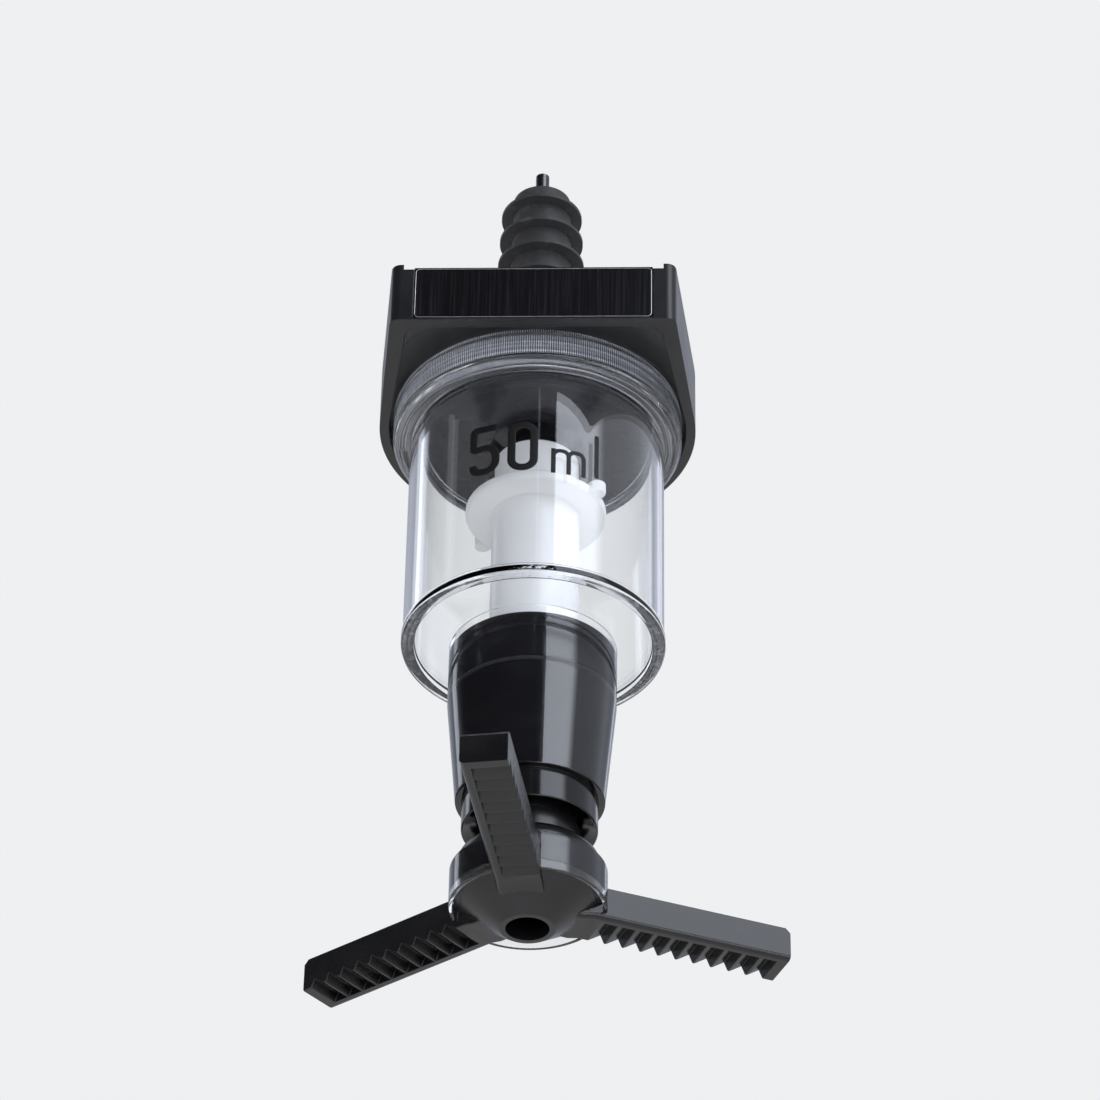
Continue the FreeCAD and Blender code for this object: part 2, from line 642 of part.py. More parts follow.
def make_label_plate():
    """Plate that fills the seat between the front's rims, with rounded lower corners."""
    part = SubPart("label_plate", "skirt_edge")
    face = part.sketch("face", "XZ_Plane", "head_front - label_inset")
    side = "label_width / 2"
    top = part.local("top_face + label_rise")
    low = "label_margin"
    draw_polygon(face, [(f"-{side}", low), (side, low), (side, top), (f"-{side}", top)])
    part.extrude("plate", face, "label_thickness", reversed_way=True)
    lower = []
    for number, edge in enumerate(part.body.Tip.Shape.Edges, 1):
        points = [vertex.Point for vertex in edge.Vertexes]
        if len(points) == 2 and all(abs(point.z - value("label_margin")) < 1e-4 for point in points):
            if abs(points[0].x - points[1].x) < 1e-4:
                lower.append(f"Edge{number}")
    part.dress("corners", "Fillet", lower, "label_corner")


def make_chamber_seal():
    part = SubPart("chamber_seal", "socket_floor")
    inner = "boss_radius - chamber_seal_width"
    part.turn(
        "ring",
        [
            (inner, "socket_floor"),
            ("boss_radius", "socket_floor"),
            ("boss_radius", "boss_end"),
            (inner, "boss_end"),
        ],
    )


def make_measure_chamber():
    """Knurled flange, cylinder, funnel floor and tapered spigot in one clear moulding."""
    part = SubPart("measure_chamber", "sleeve_end")
    groove_top = "flange_top - flange_lip"
    groove_end = "flange_top - flange_lip - flange_groove"
    bead = "chamber_radius + bead_width"
    bead_top = "rim_end + bead_height"
    part.turn(
        "shape",
        [
            ("boss_radius + socket_clearance", "flange_top"),
            ("boss_radius + socket_clearance", "socket_floor"),
            ("chamber_radius - chamber_wall", "socket_floor"),
            ("chamber_radius - chamber_wall", "floor_edge"),
            ("collar_radius", "floor_foot"),
            ("collar_radius", "straight_end"),
            ("sleeve_end_radius - sleeve_wall", "sleeve_end"),
            ("sleeve_end_radius", "sleeve_end", "sleeve_round"),
            ("collar_radius + sleeve_wall", "straight_end"),
            ("collar_radius + sleeve_wall", "cone_foot"),
            ("chamber_radius - chamber_wall", "rim_end + rim_lip"),
            ("chamber_radius - chamber_wall", "rim_end"),
            (bead, "rim_end", "bead_round"),
            (bead, bead_top),
            ("chamber_radius", f"{bead_top} + bead_width"),
            ("chamber_radius", "flange_end"),
            ("flange_radius", "flange_end", "flange_round"),
            ("flange_radius", groove_end),
            ("flange_radius - groove_depth", groove_end),
            ("flange_radius - groove_depth", groove_top),
            ("flange_radius", groove_top),
            ("flange_radius", "flange_top", "lip_round"),
        ],
    )


def make_floor_seal():
    """Lip seal in the collar's top, with a groove behind the lip."""
    part = SubPart("floor_seal", "seal_end")
    lip = "valve_radius + seal_clearance"
    middle = f"(({lip}) + floor_seal_radius) / 2"
    part.turn(
        "ring",
        [
            (lip, "seal_end"),
            ("floor_seal_radius", "seal_end"),
            ("floor_seal_radius", "collar_top"),
            (f"{middle} + lip_groove", "collar_top"),
            (middle, "collar_top - lip_groove"),
            (f"{middle} - lip_groove", "collar_top"),
            (lip, "collar_top"),
        ],
    )


def make_spigot_collar():
    part = SubPart("spigot_collar", "collar_end")
    bore = "valve_radius + collar_clearance"
    part.turn(
        "ring",
        [
            (bore, "collar_end"),
            ("collar_radius", "collar_end"),
            ("collar_radius", "collar_top - collar_edge"),
            ("collar_radius - collar_edge", "collar_top"),
            ("floor_seal_radius", "collar_top"),
            ("floor_seal_radius", "seal_end"),
            (bore, "seal_end"),
        ],
    )


def make_lower_housing():
    """Tapered housing inside the clear spigot, with the spring's room and the guide end."""
    part = SubPart("lower_housing", "housing_end")
    bush = "valve_radius + guide_clearance + bush_wall"
    rebate = "collar_end - housing_oring_section"
    part.turn(
        "shape",
        [
            ("cavity_radius", "collar_end"),
            ("collar_radius - housing_oring_section", "collar_end"),
            ("collar_radius - housing_oring_section", rebate),
            ("collar_radius", rebate),
            ("collar_radius", "straight_end"),
            ("sleeve_end_radius - sleeve_wall", "sleeve_end"),
            ("housing_end_radius", "sleeve_end"),
            ("housing_end_radius", "housing_end", "housing_round"),
            ("mouth_radius + mouth_chamfer", "housing_end"),
            ("mouth_radius", "housing_end + mouth_chamfer"),
            ("mouth_radius", "bush_end"),
            (bush, "bush_end"),
            (bush, "bush_seat"),
            ("cavity_radius", "bush_seat"),
        ],
    )


def make_housing_oring():
    part = SubPart("housing_oring", "collar_end")
    radius = "collar_radius - housing_oring_section / 2"
    height = "collar_end - housing_oring_section / 2"
    part.ring("section", radius, height, "housing_oring_section")


def make_guide_bush():
    part = SubPart("guide_bush", "bush_end")
    bore = "valve_radius + guide_clearance"
    part.turn(
        "bush",
        [
            (bore, "bush_end"),
            (f"{bore} + bush_wall", "bush_end"),
            (f"{bore} + bush_wall", "bush_seat"),
            ("bush_flange_radius", "bush_seat"),
            ("bush_flange_radius", "bush_top"),
            (bore, "bush_top"),
        ],
    )


def make_spring_washer():
    part = SubPart("spring_washer", "spring_top")
    part.turn(
        "ring",
        [
            ("spring_washer_inner", "spring_top"),
            ("spring_washer_outer", "spring_top"),
            ("spring_washer_outer", "collar_end"),
            ("spring_washer_inner", "collar_end"),
        ],
    )


def make_return_spring():
    part = SubPart("return_spring", "spindle_flange_top")
    wire = part.sketch("wire", "XZ_Plane")
    draw_circle(wire, "spring_wire / 2", "spring_radius", "spring_wire / 2")
    coil = part.body.newObject("PartDesign::AdditiveHelix", "return_spring_coil")
    coil.Profile = wire
    coil.ReferenceAxis = (wire, ["V_Axis"])
    coil.Mode = "height-turns-angle"
    coil.setExpression("Height", bound("spring_top - spindle_flange_top - spring_wire"))
    coil.setExpression("Turns", bound("spring_turns"))
    doc.recompute()


def make_valve_head():
    """Cap that hangs round the inlet tube, with the sealing pad's web, a disc and two lugs."""
    part = SubPart("valve_head", "valve_head_end")
    part.turn(
        "shape",
        [
            ("0", "web_end"),
            ("tube_spigot_radius", "web_end"),
            ("tube_spigot_radius", "valve_head_end"),
            ("valve_radius", "valve_head_end"),
            ("valve_radius", "disc_end"),
            ("disc_radius", "disc_end", "disc_round"),
            ("disc_radius", "disc_top", "disc_round"),
            ("valve_radius", "disc_top"),
            ("valve_radius", "cap_step_level"),
            ("valve_radius - cap_step", "cap_step_level"),
            ("valve_radius - cap_step", "cap_top", "cap_round"),
            ("cap_bore", "cap_top"),
            ("cap_bore", "web_top"),
            ("0", "web_top"),
        ],
    )
    lug = part.sketch("lug", "XY_Plane", part.local("disc_end + lug_rise"))
    draw_circle(lug, "lug_radius", "lug_offset * cos(lug_angle)", "-lug_offset * sin(lug_angle)")
    first = part.extrude("lug", lug, "disc_thickness")
    part.pattern("lugs", [first], "2")


def make_inlet_seal():
    part = SubPart("inlet_seal", "web_top")
    part.turn(
        "pad",
        [
            ("0", "web_top"),
            ("cap_bore", "web_top"),
            ("cap_bore", "pad_top"),
            ("0", "pad_top"),
        ],
    )


def make_valve_tube():
    part = SubPart("valve_tube", "spindle_top")
    top = "web_end - tube_spigot_gap"
    end = "socket_end + tube_spigot_gap"
    part.turn(
        "shape",
        [
            ("valve_bore", end),
            ("tube_spigot_radius", end),
            ("tube_spigot_radius", "spindle_top"),
            ("valve_radius", "spindle_top"),
            ("valve_radius", "valve_head_end"),
            ("tube_spigot_radius", "valve_head_end"),
            ("tube_spigot_radius", top),
            ("valve_bore", top),
        ],
    )
    port = part.sketch("port", "XZ_Plane")
    half = "port_width / 2"
    low = part.local("port_end")
    high = part.local("port_top")
    draw_polygon(port, [(f"-{half}", low), (half, low), (half, high), (f"-{half}", high)])
    first = part.extrude("port", port, None, "Pocket")
    part.pattern("ports", [first], "port_count")


def make_tube_oring():
    part = SubPart("tube_oring", "spindle_top")
    radius = "tube_spigot_radius + tube_oring_section / 2"
    height = "spindle_top - tube_oring_section / 2"
    part.ring("section", radius, height, "tube_oring_section")


def make_plunger_spindle():
    """Socket for the valve tube, flange on the guide bush, and a journal for the star."""
    part = SubPart("plunger_spindle", "journal_end")
    oring = "neck_top - spindle_oring_drop"
    part.turn(
        "shape",
        [
            ("spindle_bore", "journal_end"),
            ("journal_radius", "journal_end"),
            ("journal_radius", "snap_end"),
            ("journal_radius - snap_depth", "snap_end"),
            ("journal_radius - snap_depth", "snap_top + snap_play"),
            ("journal_radius", "snap_top + snap_play"),
            ("journal_radius", f"{oring} - oring_groove_width"),
            ("journal_radius - spindle_oring_section", f"{oring} - oring_groove_width"),
            ("journal_radius - spindle_oring_section", oring),
            ("journal_radius", oring),
            ("journal_radius", "journal_top"),
            ("valve_radius", "journal_top"),
            ("valve_radius", "bush_top"),
            ("spindle_flange_radius", "bush_top"),
            ("spindle_flange_radius", "spindle_flange_top"),
            ("valve_radius", "spindle_flange_top"),
            ("valve_radius", "spindle_top"),
            ("tube_spigot_radius + tube_oring_section", "spindle_top"),
            ("tube_spigot_radius + tube_oring_section", "spindle_top - tube_oring_section"),
            ("tube_spigot_radius", "spindle_top - tube_oring_section"),
            ("tube_spigot_radius", "socket_end"),
            ("spindle_bore", "socket_end"),
        ],
    )


def make_spindle_oring():
    part = SubPart("spindle_oring", "neck_top")
    radius = "journal_radius - spindle_oring_section / 2"
    height = "neck_top - spindle_oring_drop - oring_groove_width / 2"
    part.ring("section", radius, height, "spindle_oring_section")


def make_snap_ring():
    part = SubPart("snap_ring", "snap_end")
    inner = "journal_radius - snap_depth + snap_clearance"
    part.turn(
        "ring",
        [
            (inner, "snap_end"),
            ("snap_radius", "snap_end"),
            ("snap_radius", "snap_top"),
            (inner, "snap_top"),
        ],
    )
    opening = part.sketch("opening", "XZ_Plane")
    half = "snap_opening / 2"
    high = "snap_thickness"
    draw_polygon(opening, [(f"-{half}", "0"), (half, "0"), (half, high), (f"-{half}", high)])
    part.extrude("opening", opening, None, "Pocket")


def arm_edges(part, side):
    """Lower edges of the three arms on one side: 1 the open side, -1 the closed one."""
    low = value("arm_end") - value(part.base)
    half = -side * value("arm_width") / 2
    found = []
    for number, edge in enumerate(part.body.Tip.Shape.Edges, 1):
        ends = [vertex.Point for vertex in edge.Vertexes]
        for turn in range(3):
            back = FreeCAD.Rotation(VECTOR(0, 0, 1), -120 * turn)
            spots = [back.multVec(end) for end in ends]
            if all(abs(s.y - half) < 1e-3 and abs(s.z - low) < 1e-3 and s.x < 0 for s in spots):
                found.append(f"Edge{number}")
    return found


def make_lever_star():
    """Neck, hub, nozzle cone and three toothed arms in one moulding."""
    part = SubPart("lever_star", "nozzle_end")
    part.turn_about_axis("arm_turn + 90")
    part.turn(
        "hub",
        [
            ("0", "neck_top"),
            ("0", "nozzle_end"),
            ("nozzle_bore + nozzle_rim", "nozzle_end"),
            ("hub_radius - hub_chamfer", "hub_end - hub_chamfer / 3"),
            ("hub_radius", "hub_end + hub_chamfer"),
            ("hub_radius", "neck_end", "shoulder_round"),
            ("neck_radius", "neck_end"),
            ("neck_radius", "neck_top"),
        ],
    )
    side = part.sketch("arm", "XZ_Plane")
    low = part.local("arm_end")
    high = part.local("arm_top")
    ramp = part.local("arm_end - ramp_drop")
    outline = [
        ("-arm_start", high),
        ("-arm_reach + arm_tip_chamfer", high),
        ("-arm_reach", f"{high} - arm_tip_chamfer"),
        ("-arm_reach", low),
        ("-ramp_outer", low),
        ("-ramp_inner", ramp),
        ("-arm_start", ramp),
    ]
    draw_polygon(side, outline)
    arm = part.extrude("arm", side, "arm_width", both_ways=True)
    part.pattern("arms", [arm], "arm_count")
    part.dress("bevel", "Chamfer", arm_edges(part, 1), "arm_bevel")
    part.dress("round", "Fillet", arm_edges(part, -1), "arm_round")

    span = value("arm_reach") - value("tooth_start") - value("tooth_root")
    count = int(span / value("tooth_pitch"))
    first = "-arm_reach + tooth_start"
    below = f"{low} - tooth_depth"
    sections = []
    for name, place, depth in (
        ("open_side", "arm_width / 2 + arm_bevel", "tooth_run_out"),
        ("strip_side", "arm_wall - arm_width / 2", "tooth_depth"),
    ):
        outline = [(f"{first} + {count} * tooth_pitch", below), (first, below)]
        for number in range(count):
            tip = f"{first} + {number} * tooth_pitch"
            outline.append((tip, low))
            outline.append((f"{tip} + tooth_steep", f"{low} + {depth}"))
        outline.append((f"{first} + {count} * tooth_pitch", low))
        section = part.sketch(name, "XZ_Plane", place)
        draw_polygon(section, outline)
        sections.append(section)
    teeth_cut = part.loft_cut("teeth", *sections)
    part.pattern("rows_of_teeth", [teeth_cut], "arm_count")

    bore = "journal_radius + journal_clearance"
    part.turn(
        "inside",
        [
            ("0", "neck_top"),
            (bore, "neck_top"),
            (bore, "snap_top"),
            ("snap_radius", "snap_top"),
            ("snap_radius", "snap_end - snap_play"),
            (bore, "snap_end - snap_play"),
            (bore, "journal_end - journal_room"),
            ("nozzle_bore", "nozzle_end + nozzle_length"),
            ("nozzle_bore", "nozzle_end"),
            ("0", "nozzle_end"),
        ],
        "Groove",
    )


def make_splash_ring():
    """Thin clear ring pushed down over the hub, notched over the arms."""
    part = SubPart("splash_ring", "ring_end")
    part.turn_about_axis("arm_turn + 90")
    top = "ring_end + ring_height"
    part.turn(
        "ring",
        [
            ("hub_radius", "ring_end"),
            ("hub_radius + ring_wall", "ring_end"),
            ("hub_radius + ring_wall", top),
            ("hub_radius", top),
        ],
    )
    notch = part.sketch("notch", "YZ_Plane")
    half = "arm_width / 2 + ring_notch_gap"
    high = part.local("arm_top + ring_notch_gap")
    draw_polygon(notch, [(f"-({half})", "0"), (half, "0"), (half, high), (f"-({half})", high)])
    first = part.extrude("notch", notch, None, "Pocket")
    part.pattern("notches", [first], "arm_count")


def write_parts():
    """Check every object, then write each sub-part to its own STEP file."""
    failed = [o.Name for o in doc.Objects if {"Invalid", "Error"} & set(o.State)]
    if failed:
        raise RuntimeError(f"failed: {failed}")
    os.makedirs("parts", exist_ok=True)
    for body in doc.Objects:
        if body.TypeId != "PartDesign::Body":
            continue
        if body.Shape.isNull() or not body.Shape.isValid():
            raise RuntimeError(f"{body.Label} has no sound shape")
        body.Shape.exportStep(f"parts/{body.Label}.step")
        print(body.Label, len(body.Shape.Solids), round(body.Shape.Volume, 1))


fill_sheet("Sizes", [(alias, str(number), meaning) for alias, number, meaning in SIZES])
for name, formula in LEVELS:
    owner[name] = "Levels"
level_rows = [(name, "=" + bound(formula).replace("Levels.", ""), name) for name, formula in LEVELS]
fill_sheet("Levels", level_rows)

make_bottle_stopper()
make_seat_washer()
make_inlet_spigot()
make_inlet_oring()
make_air_tube()
make_head_housing()
make_label_plate()
make_chamber_seal()
make_measure_chamber()
make_floor_seal()
make_spigot_collar()
make_lower_housing()
make_housing_oring()
make_guide_bush()
make_spring_washer()
make_return_spring()
make_valve_head()
make_inlet_seal()
make_valve_tube()
make_tube_oring()
make_plunger_spindle()
make_spindle_oring()
make_snap_ring()
make_lever_star()
make_splash_ring()

doc.recompute()
write_parts()
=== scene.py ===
import math

import bpy
from mathutils import Matrix, Vector


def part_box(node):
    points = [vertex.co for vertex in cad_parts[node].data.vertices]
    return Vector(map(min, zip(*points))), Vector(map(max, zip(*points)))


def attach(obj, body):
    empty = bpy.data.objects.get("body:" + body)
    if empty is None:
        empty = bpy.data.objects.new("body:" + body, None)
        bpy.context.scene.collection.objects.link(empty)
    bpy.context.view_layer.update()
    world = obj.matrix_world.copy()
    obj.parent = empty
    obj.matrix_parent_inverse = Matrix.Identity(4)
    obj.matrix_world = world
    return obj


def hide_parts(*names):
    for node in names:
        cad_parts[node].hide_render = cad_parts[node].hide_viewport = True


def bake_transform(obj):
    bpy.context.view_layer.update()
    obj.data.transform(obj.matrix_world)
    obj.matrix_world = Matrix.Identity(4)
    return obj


# The looks of a 50 ml spirit measure. Lengths in the tables are millimetres, made metres by MM.
# +Z runs up into the bottle, -Y is the label's side, and the chamber's axis is x = y = 0.

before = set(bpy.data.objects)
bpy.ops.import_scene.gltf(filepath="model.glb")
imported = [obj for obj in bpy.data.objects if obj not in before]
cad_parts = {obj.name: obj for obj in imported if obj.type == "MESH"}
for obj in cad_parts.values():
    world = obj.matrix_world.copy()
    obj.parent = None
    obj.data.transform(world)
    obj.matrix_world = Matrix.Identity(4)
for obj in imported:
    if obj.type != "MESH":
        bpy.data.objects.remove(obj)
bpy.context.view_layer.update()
MM = 0.001
AXIS = 0.0005  # a ring this small is merged to one point on the axis
MERGE = 1e-6  # points this near in metres become one
NEAR = 1e-3  # millimetres within which a corner counts as at a place
SMOOTH_ANGLE = math.radians(32)
BROAD = 0.6  # a rounding larger than this gets more steps


# ---------------------------------------------------------------- modelling by hand


def clear_selection():
    if bpy.context.mode != "OBJECT":
        bpy.ops.object.mode_set(mode="OBJECT")
    bpy.ops.object.select_all(action="DESELECT")


def choose(piece):
    """Selects this piece alone and makes it the active one."""
    clear_selection()
    piece.select_set(True)
    bpy.context.view_layer.objects.active = piece


def named(name):
    """The active object, with its name and its place in its mesh."""
    piece = bpy.context.object
    piece.name = name
    piece.data.name = name
    bpy.ops.object.mode_set(mode="OBJECT")
    bpy.ops.object.transform_apply(location=True, rotation=True, scale=True)
    return piece


def select_edges(piece, chosen):
    """In edit mode, select just the edges whose two ends pass a test."""
    bpy.ops.mesh.select_mode(type="EDGE")
    bpy.ops.mesh.select_all(action="DESELECT")
    bpy.ops.object.mode_set(mode="OBJECT")
    places = [vertex.co / MM for vertex in piece.data.vertices]
    for edge in piece.data.edges:
        edge.select = all(chosen(places[index]) for index in edge.vertices)
    bpy.ops.object.mode_set(mode="EDIT")


def turned(name, outline, sides=192):
    """A closed outline of (radius, height[, rounding]) corners, drawn round the axis ring by ring."""
    clear_selection()
    radius, height = outline[0][:2]
    bpy.ops.mesh.primitive_circle_add(vertices=sides, radius=radius * MM, location=(0, 0, height * MM))
    piece = named(name)
    bpy.ops.object.mode_set(mode="EDIT")
    bpy.ops.mesh.select_all(action="SELECT")
    for corner in list(outline[1:]) + [outline[0]]:
        move = (0, 0, (corner[1] - height) * MM)
        bpy.ops.mesh.extrude_edges_move(TRANSFORM_OT_translate={"value": move})
        size = corner[0] / radius
        bpy.ops.transform.resize(value=(size, size, 1), center_override=(0, 0, 0))
        radius, height = corner[:2]
    bpy.ops.mesh.select_all(action="SELECT")
    bpy.ops.mesh.remove_doubles(threshold=MERGE)
    bpy.ops.mesh.normals_make_consistent(inside=False)
    for number, corner in enumerate(outline):
        if len(corner) == 3:
            round_ring(piece, outline, number)
    bpy.ops.object.mode_set(mode="OBJECT")
    even_normals(piece)
    return piece


def apply_modifier(piece, kind, **settings):
    """Adds a modifier with these settings and applies it."""
    bpy.context.view_layer.objects.active = piece
    bpy.ops.object.modifier_add(type=kind)
    modifier = piece.modifiers[-1]
    for name, setting in settings.items():
        setattr(modifier, name, setting)
    bpy.ops.object.modifier_apply(modifier=modifier.name)


def even_normals(piece):
    """Shades smooth up to an edge, and keeps broad faces flat or round beside small roundings."""
    choose(piece)
    bpy.ops.object.shade_smooth_by_angle(angle=SMOOTH_ANGLE)
    apply_modifier(piece, "WEIGHTED_NORMAL", keep_sharp=True, weight=100)


def round_path(corners, steps=6):
    """Points along runs between (across, up[, radius]) corners, with an arc at each that has a radius."""
    points = []
    for number, corner in enumerate(corners):
        here = Vector(corner[:2])
        if len(corner) == 2:
            points.append(here)
            continue
        back = (Vector(corners[number - 1][:2]) - here).normalized()
        on = (Vector(corners[(number + 1) % len(corners)][:2]) - here).normalized()
        half = back.angle(on) / 2
        middle = here + (back + on).normalized() * (corner[2] / math.sin(half))
        start = here + back * (corner[2] / math.tan(half)) - middle
        sweep = start.angle_signed(here + on * (corner[2] / math.tan(half)) - middle)
        for step in range(steps + 1):
            angle = -sweep * step / steps
            turn = Vector((
                start.x * math.cos(angle) - start.y * math.sin(angle),
                start.x * math.sin(angle) + start.y * math.cos(angle),
            ))
            points.append(middle + turn)
    return points


def drawn_line(points, closed):
    """A curve of straight runs through (x, y, z) points."""
    clear_selection()
    bpy.ops.curve.primitive_nurbs_path_add(location=(0, 0, 0))
    line = bpy.context.object
    line.data.splines.clear()
    spline = line.data.splines.new("POLY")
    spline.points.add(len(points) - 1)
    for point, place in zip(spline.points, points):
        point.co = (*(part * MM for part in place), 1)
    spline.use_cyclic_u = closed
    return line


def stroke(name, corners, width, closed=False, rise=0.05):
    """A flat line of this width in the plane that faces the front, as a thin closed mesh."""
    line = drawn_line([(place.x, 0, place.y) for place in round_path(corners)], closed)
    line.data.dimensions = "3D"
    line.data.bevel_depth = width / 2 * MM
    line.data.bevel_resolution = 2
    line.data.use_fill_caps = not closed
    bpy.ops.object.convert(target="MESH")
    piece = named(name)
    bpy.ops.object.mode_set(mode="EDIT")
    bpy.ops.mesh.select_all(action="SELECT")
    bpy.ops.transform.resize(value=(1, rise / width, 1), center_override=(0, 0, 0))
    bpy.ops.object.mode_set(mode="OBJECT")
    return piece


def joined(name, pieces):
    """These pieces as one, with this name."""
    clear_selection()
    for piece in pieces:
        piece.select_set(True)
    bpy.context.view_layer.objects.active = pieces[0]
    if len(pieces) > 1:
        bpy.ops.object.join()
    return named(name)


def move_all(piece, step):
    """Moves a piece's mesh, in millimetres, and leaves its origin."""
    choose(piece)
    bpy.ops.object.mode_set(mode="EDIT")
    bpy.ops.mesh.select_all(action="SELECT")
    bpy.ops.transform.translate(value=tuple(part * MM for part in step))
    bpy.ops.object.mode_set(mode="OBJECT")


def wrap(piece, radius):
    """Bends a flat piece that faces the front round the axis."""
    across = [vertex.co.x for vertex in piece.data.vertices]
    width = max(across) - min(across)
    apply_modifier(
        piece, "SIMPLE_DEFORM", deform_method="BEND", deform_axis="Z", angle=width / (radius * MM)
    )
    move_all(piece, (0, -radius, 0))


def round_ring(piece, outline, number):
    """Rounds the ring at one corner of a turned outline."""
    here = Vector(outline[number][:2])
    back = (Vector(outline[number - 1][:2]) - here).normalized()
    on = (Vector(outline[(number + 1) % len(outline)][:2]) - here).normalized()
    reach = outline[number][2] / math.tan(back.angle(on) / 2)

    def at_corner(place):
        return abs(math.hypot(place.x, place.y) - here.x) < NEAR and abs(place.z - here.y) < NEAR

    select_edges(piece, at_corner)
    steps = 5 if outline[number][2] > BROAD else 3
    bpy.ops.mesh.bevel(offset=reach * MM, segments=steps, affect="EDGES", clamp_overlap=False)


def knurl(piece, radius, low, high, ridges, depth):
    """Draws every second line of points on one band inwards, so that ridges stand between."""
    choose(piece)
    bpy.ops.object.mode_set(mode="EDIT")
    bpy.ops.mesh.select_mode(type="VERT")
    bpy.ops.mesh.select_all(action="DESELECT")
    bpy.ops.object.mode_set(mode="OBJECT")
    for vertex in piece.data.vertices:
        place = vertex.co / MM
        turn = math.atan2(place.y, place.x) / math.tau * ridges * 2
        on_band = abs(math.hypot(place.x, place.y) - radius) < NEAR * 10 and low < place.z < high
        vertex.select = on_band and round(turn) % 2 == 1
    bpy.ops.object.mode_set(mode="EDIT")
    size = 1 - depth / radius
    bpy.ops.transform.resize(value=(size, size, 1), center_override=(0, 0, 0))
    bpy.ops.object.mode_set(mode="OBJECT")
    bpy.ops.mesh.customdata_custom_splitnormals_clear()
    even_normals(piece)


def prism(name, corners, near, far):
    """A closed shape of (across, up) corners that faces the front, from one depth to another."""
    line = drawn_line([(*corner, 0) for corner in corners], True)
    line.location = (0, (near + far) / 2 * MM, 0)
    line.rotation_euler = (math.pi / 2, 0, 0)
    line.data.dimensions = "2D"
    line.data.fill_mode = "BOTH"
    line.data.extrude = abs(far - near) / 2 * MM
    bpy.ops.object.convert(target="MESH")
    piece = named(name)
    bpy.ops.object.mode_set(mode="EDIT")
    bpy.ops.mesh.select_all(action="SELECT")
    bpy.ops.mesh.remove_doubles(threshold=MERGE)
    bpy.ops.mesh.dissolve_limited(angle_limit=math.radians(1))
    bpy.ops.mesh.select_all(action="SELECT")
    bpy.ops.mesh.normals_make_consistent(inside=False)
    bpy.ops.object.mode_set(mode="OBJECT")
    return piece


# ---------------------------------------------------------------- finishes


class Value:
    """A number or colour that a finish works out. Arithmetic on it adds Math nodes."""

    def __init__(self, finish, socket):
        self.finish = finish
        self.socket = socket

    def __add__(self, other):
        return self.finish.maths("ADD", self, other)

    __radd__ = __add__

    def __sub__(self, other):
        return self.finish.maths("SUBTRACT", self, other)

    def __rsub__(self, other):
        return self.finish.maths("SUBTRACT", other, self)

    def __mul__(self, other):
        return self.finish.maths("MULTIPLY", self, other)

    __rmul__ = __mul__

    def __gt__(self, other):
        return self.finish.maths("GREATER_THAN", self, other)

    def __lt__(self, other):
        return self.finish.maths("LESS_THAN", self, other)


class Finish:
    """The nodes of a material or of the world."""

    def __init__(self, owner):
        owner.use_nodes = True
        self.owner = owner
        self.nodes = owner.node_tree.nodes
        self.links = owner.node_tree.links
        self.nodes.clear()

    def node(self, kind, inputs=None, output=0, **settings):
        """A node of this type, with its settings and then the values or links of its inputs."""
        node = self.nodes.new(kind)
        for name, setting in settings.items():
            setattr(node, name, setting)
        for name, content in (inputs or {}).items():
            if isinstance(content, Value):
                self.links.new(content.socket, node.inputs[name])
            else:
                node.inputs[name].default_value = content
        return Value(self, node.outputs[output] if node.outputs else None)

    def maths(self, operation, *terms):
        return self.node("ShaderNodeMath", dict(enumerate(terms)), operation=operation)

    def place(self, scale=(1, 1, 1), turn=(0, 0, 0), move=(0, 0, 0)):
        """Object coordinates in millimetres, then stretched, turned and moved."""
        where = self.node("ShaderNodeTexCoord", output="Object")
        scale = tuple(part / MM for part in scale)
        return self.node(
            "ShaderNodeMapping", {"Vector": where, "Scale": scale, "Rotation": turn, "Location": move}
        )

    def split(self, vector):
        """The three parts of a vector."""
        parts = self.node("ShaderNodeSeparateXYZ", {"Vector": vector})
        return [Value(self, output) for output in parts.socket.node.outputs]

    def noise(self, place, scale=1.0, detail=2.0, roughness=0.5):
        inputs = {"Vector": place, "Scale": scale, "Detail": detail, "Roughness": roughness}
        return self.node("ShaderNodeTexNoise", inputs)

    def smooth(self, value, low, high, start=0.0, end=1.0):
        """A value from start to end as the given one goes from low to high."""
        inputs = {"Value": value, "From Min": low, "From Max": high, "To Min": start, "To Max": end}
        return self.node("ShaderNodeMapRange", inputs, interpolation_type="SMOOTHSTEP")

    def blend(self, factor, first, second):
        """A colour between two."""
        first, second = (end if isinstance(end, Value) else (*end, 1.0) for end in (first, second))
        return self.node("ShaderNodeMix", {0: factor, 6: first, 7: second}, output=2, data_type="RGBA")

    def bump(self, height, depth, distance=0.1, edge=0.0):
        """Relief from a height of 0 to 1: depth is the strength, distance and edge rounding in mm."""
        inputs = {"Height": height, "Strength": depth, "Distance": distance * MM}
        if edge:
            inputs["Normal"] = self.node("ShaderNodeBevel", {"Radius": edge * MM}, samples=6)
        return self.node("ShaderNodeBump", inputs)

    def surface(self, inputs):
        """Ends the material with the plain shader."""
        shader = self.node("ShaderNodeBsdfPrincipled", inputs)
        self.node("ShaderNodeOutputMaterial", {"Surface": shader})
        return self.owner

    def lets_light_through(self, shader, share):
        """Ends the material with a shader that throws no shadow, apart from taking 1 - share of the light."""
        shadow = self.node("ShaderNodeLightPath", output="Is Shadow Ray")
        through = self.node("ShaderNodeBsdfTransparent", {"Color": (share, share, share, 1.0)})
        mixed = self.node("ShaderNodeMixShader", {0: shadow, 1: shader, 2: through})
        self.node("ShaderNodeOutputMaterial", {"Surface": mixed})
        return self.owner


ACRYLIC_IOR = 1.49


def new_finish(name):
    return Finish(bpy.data.materials.new(name))


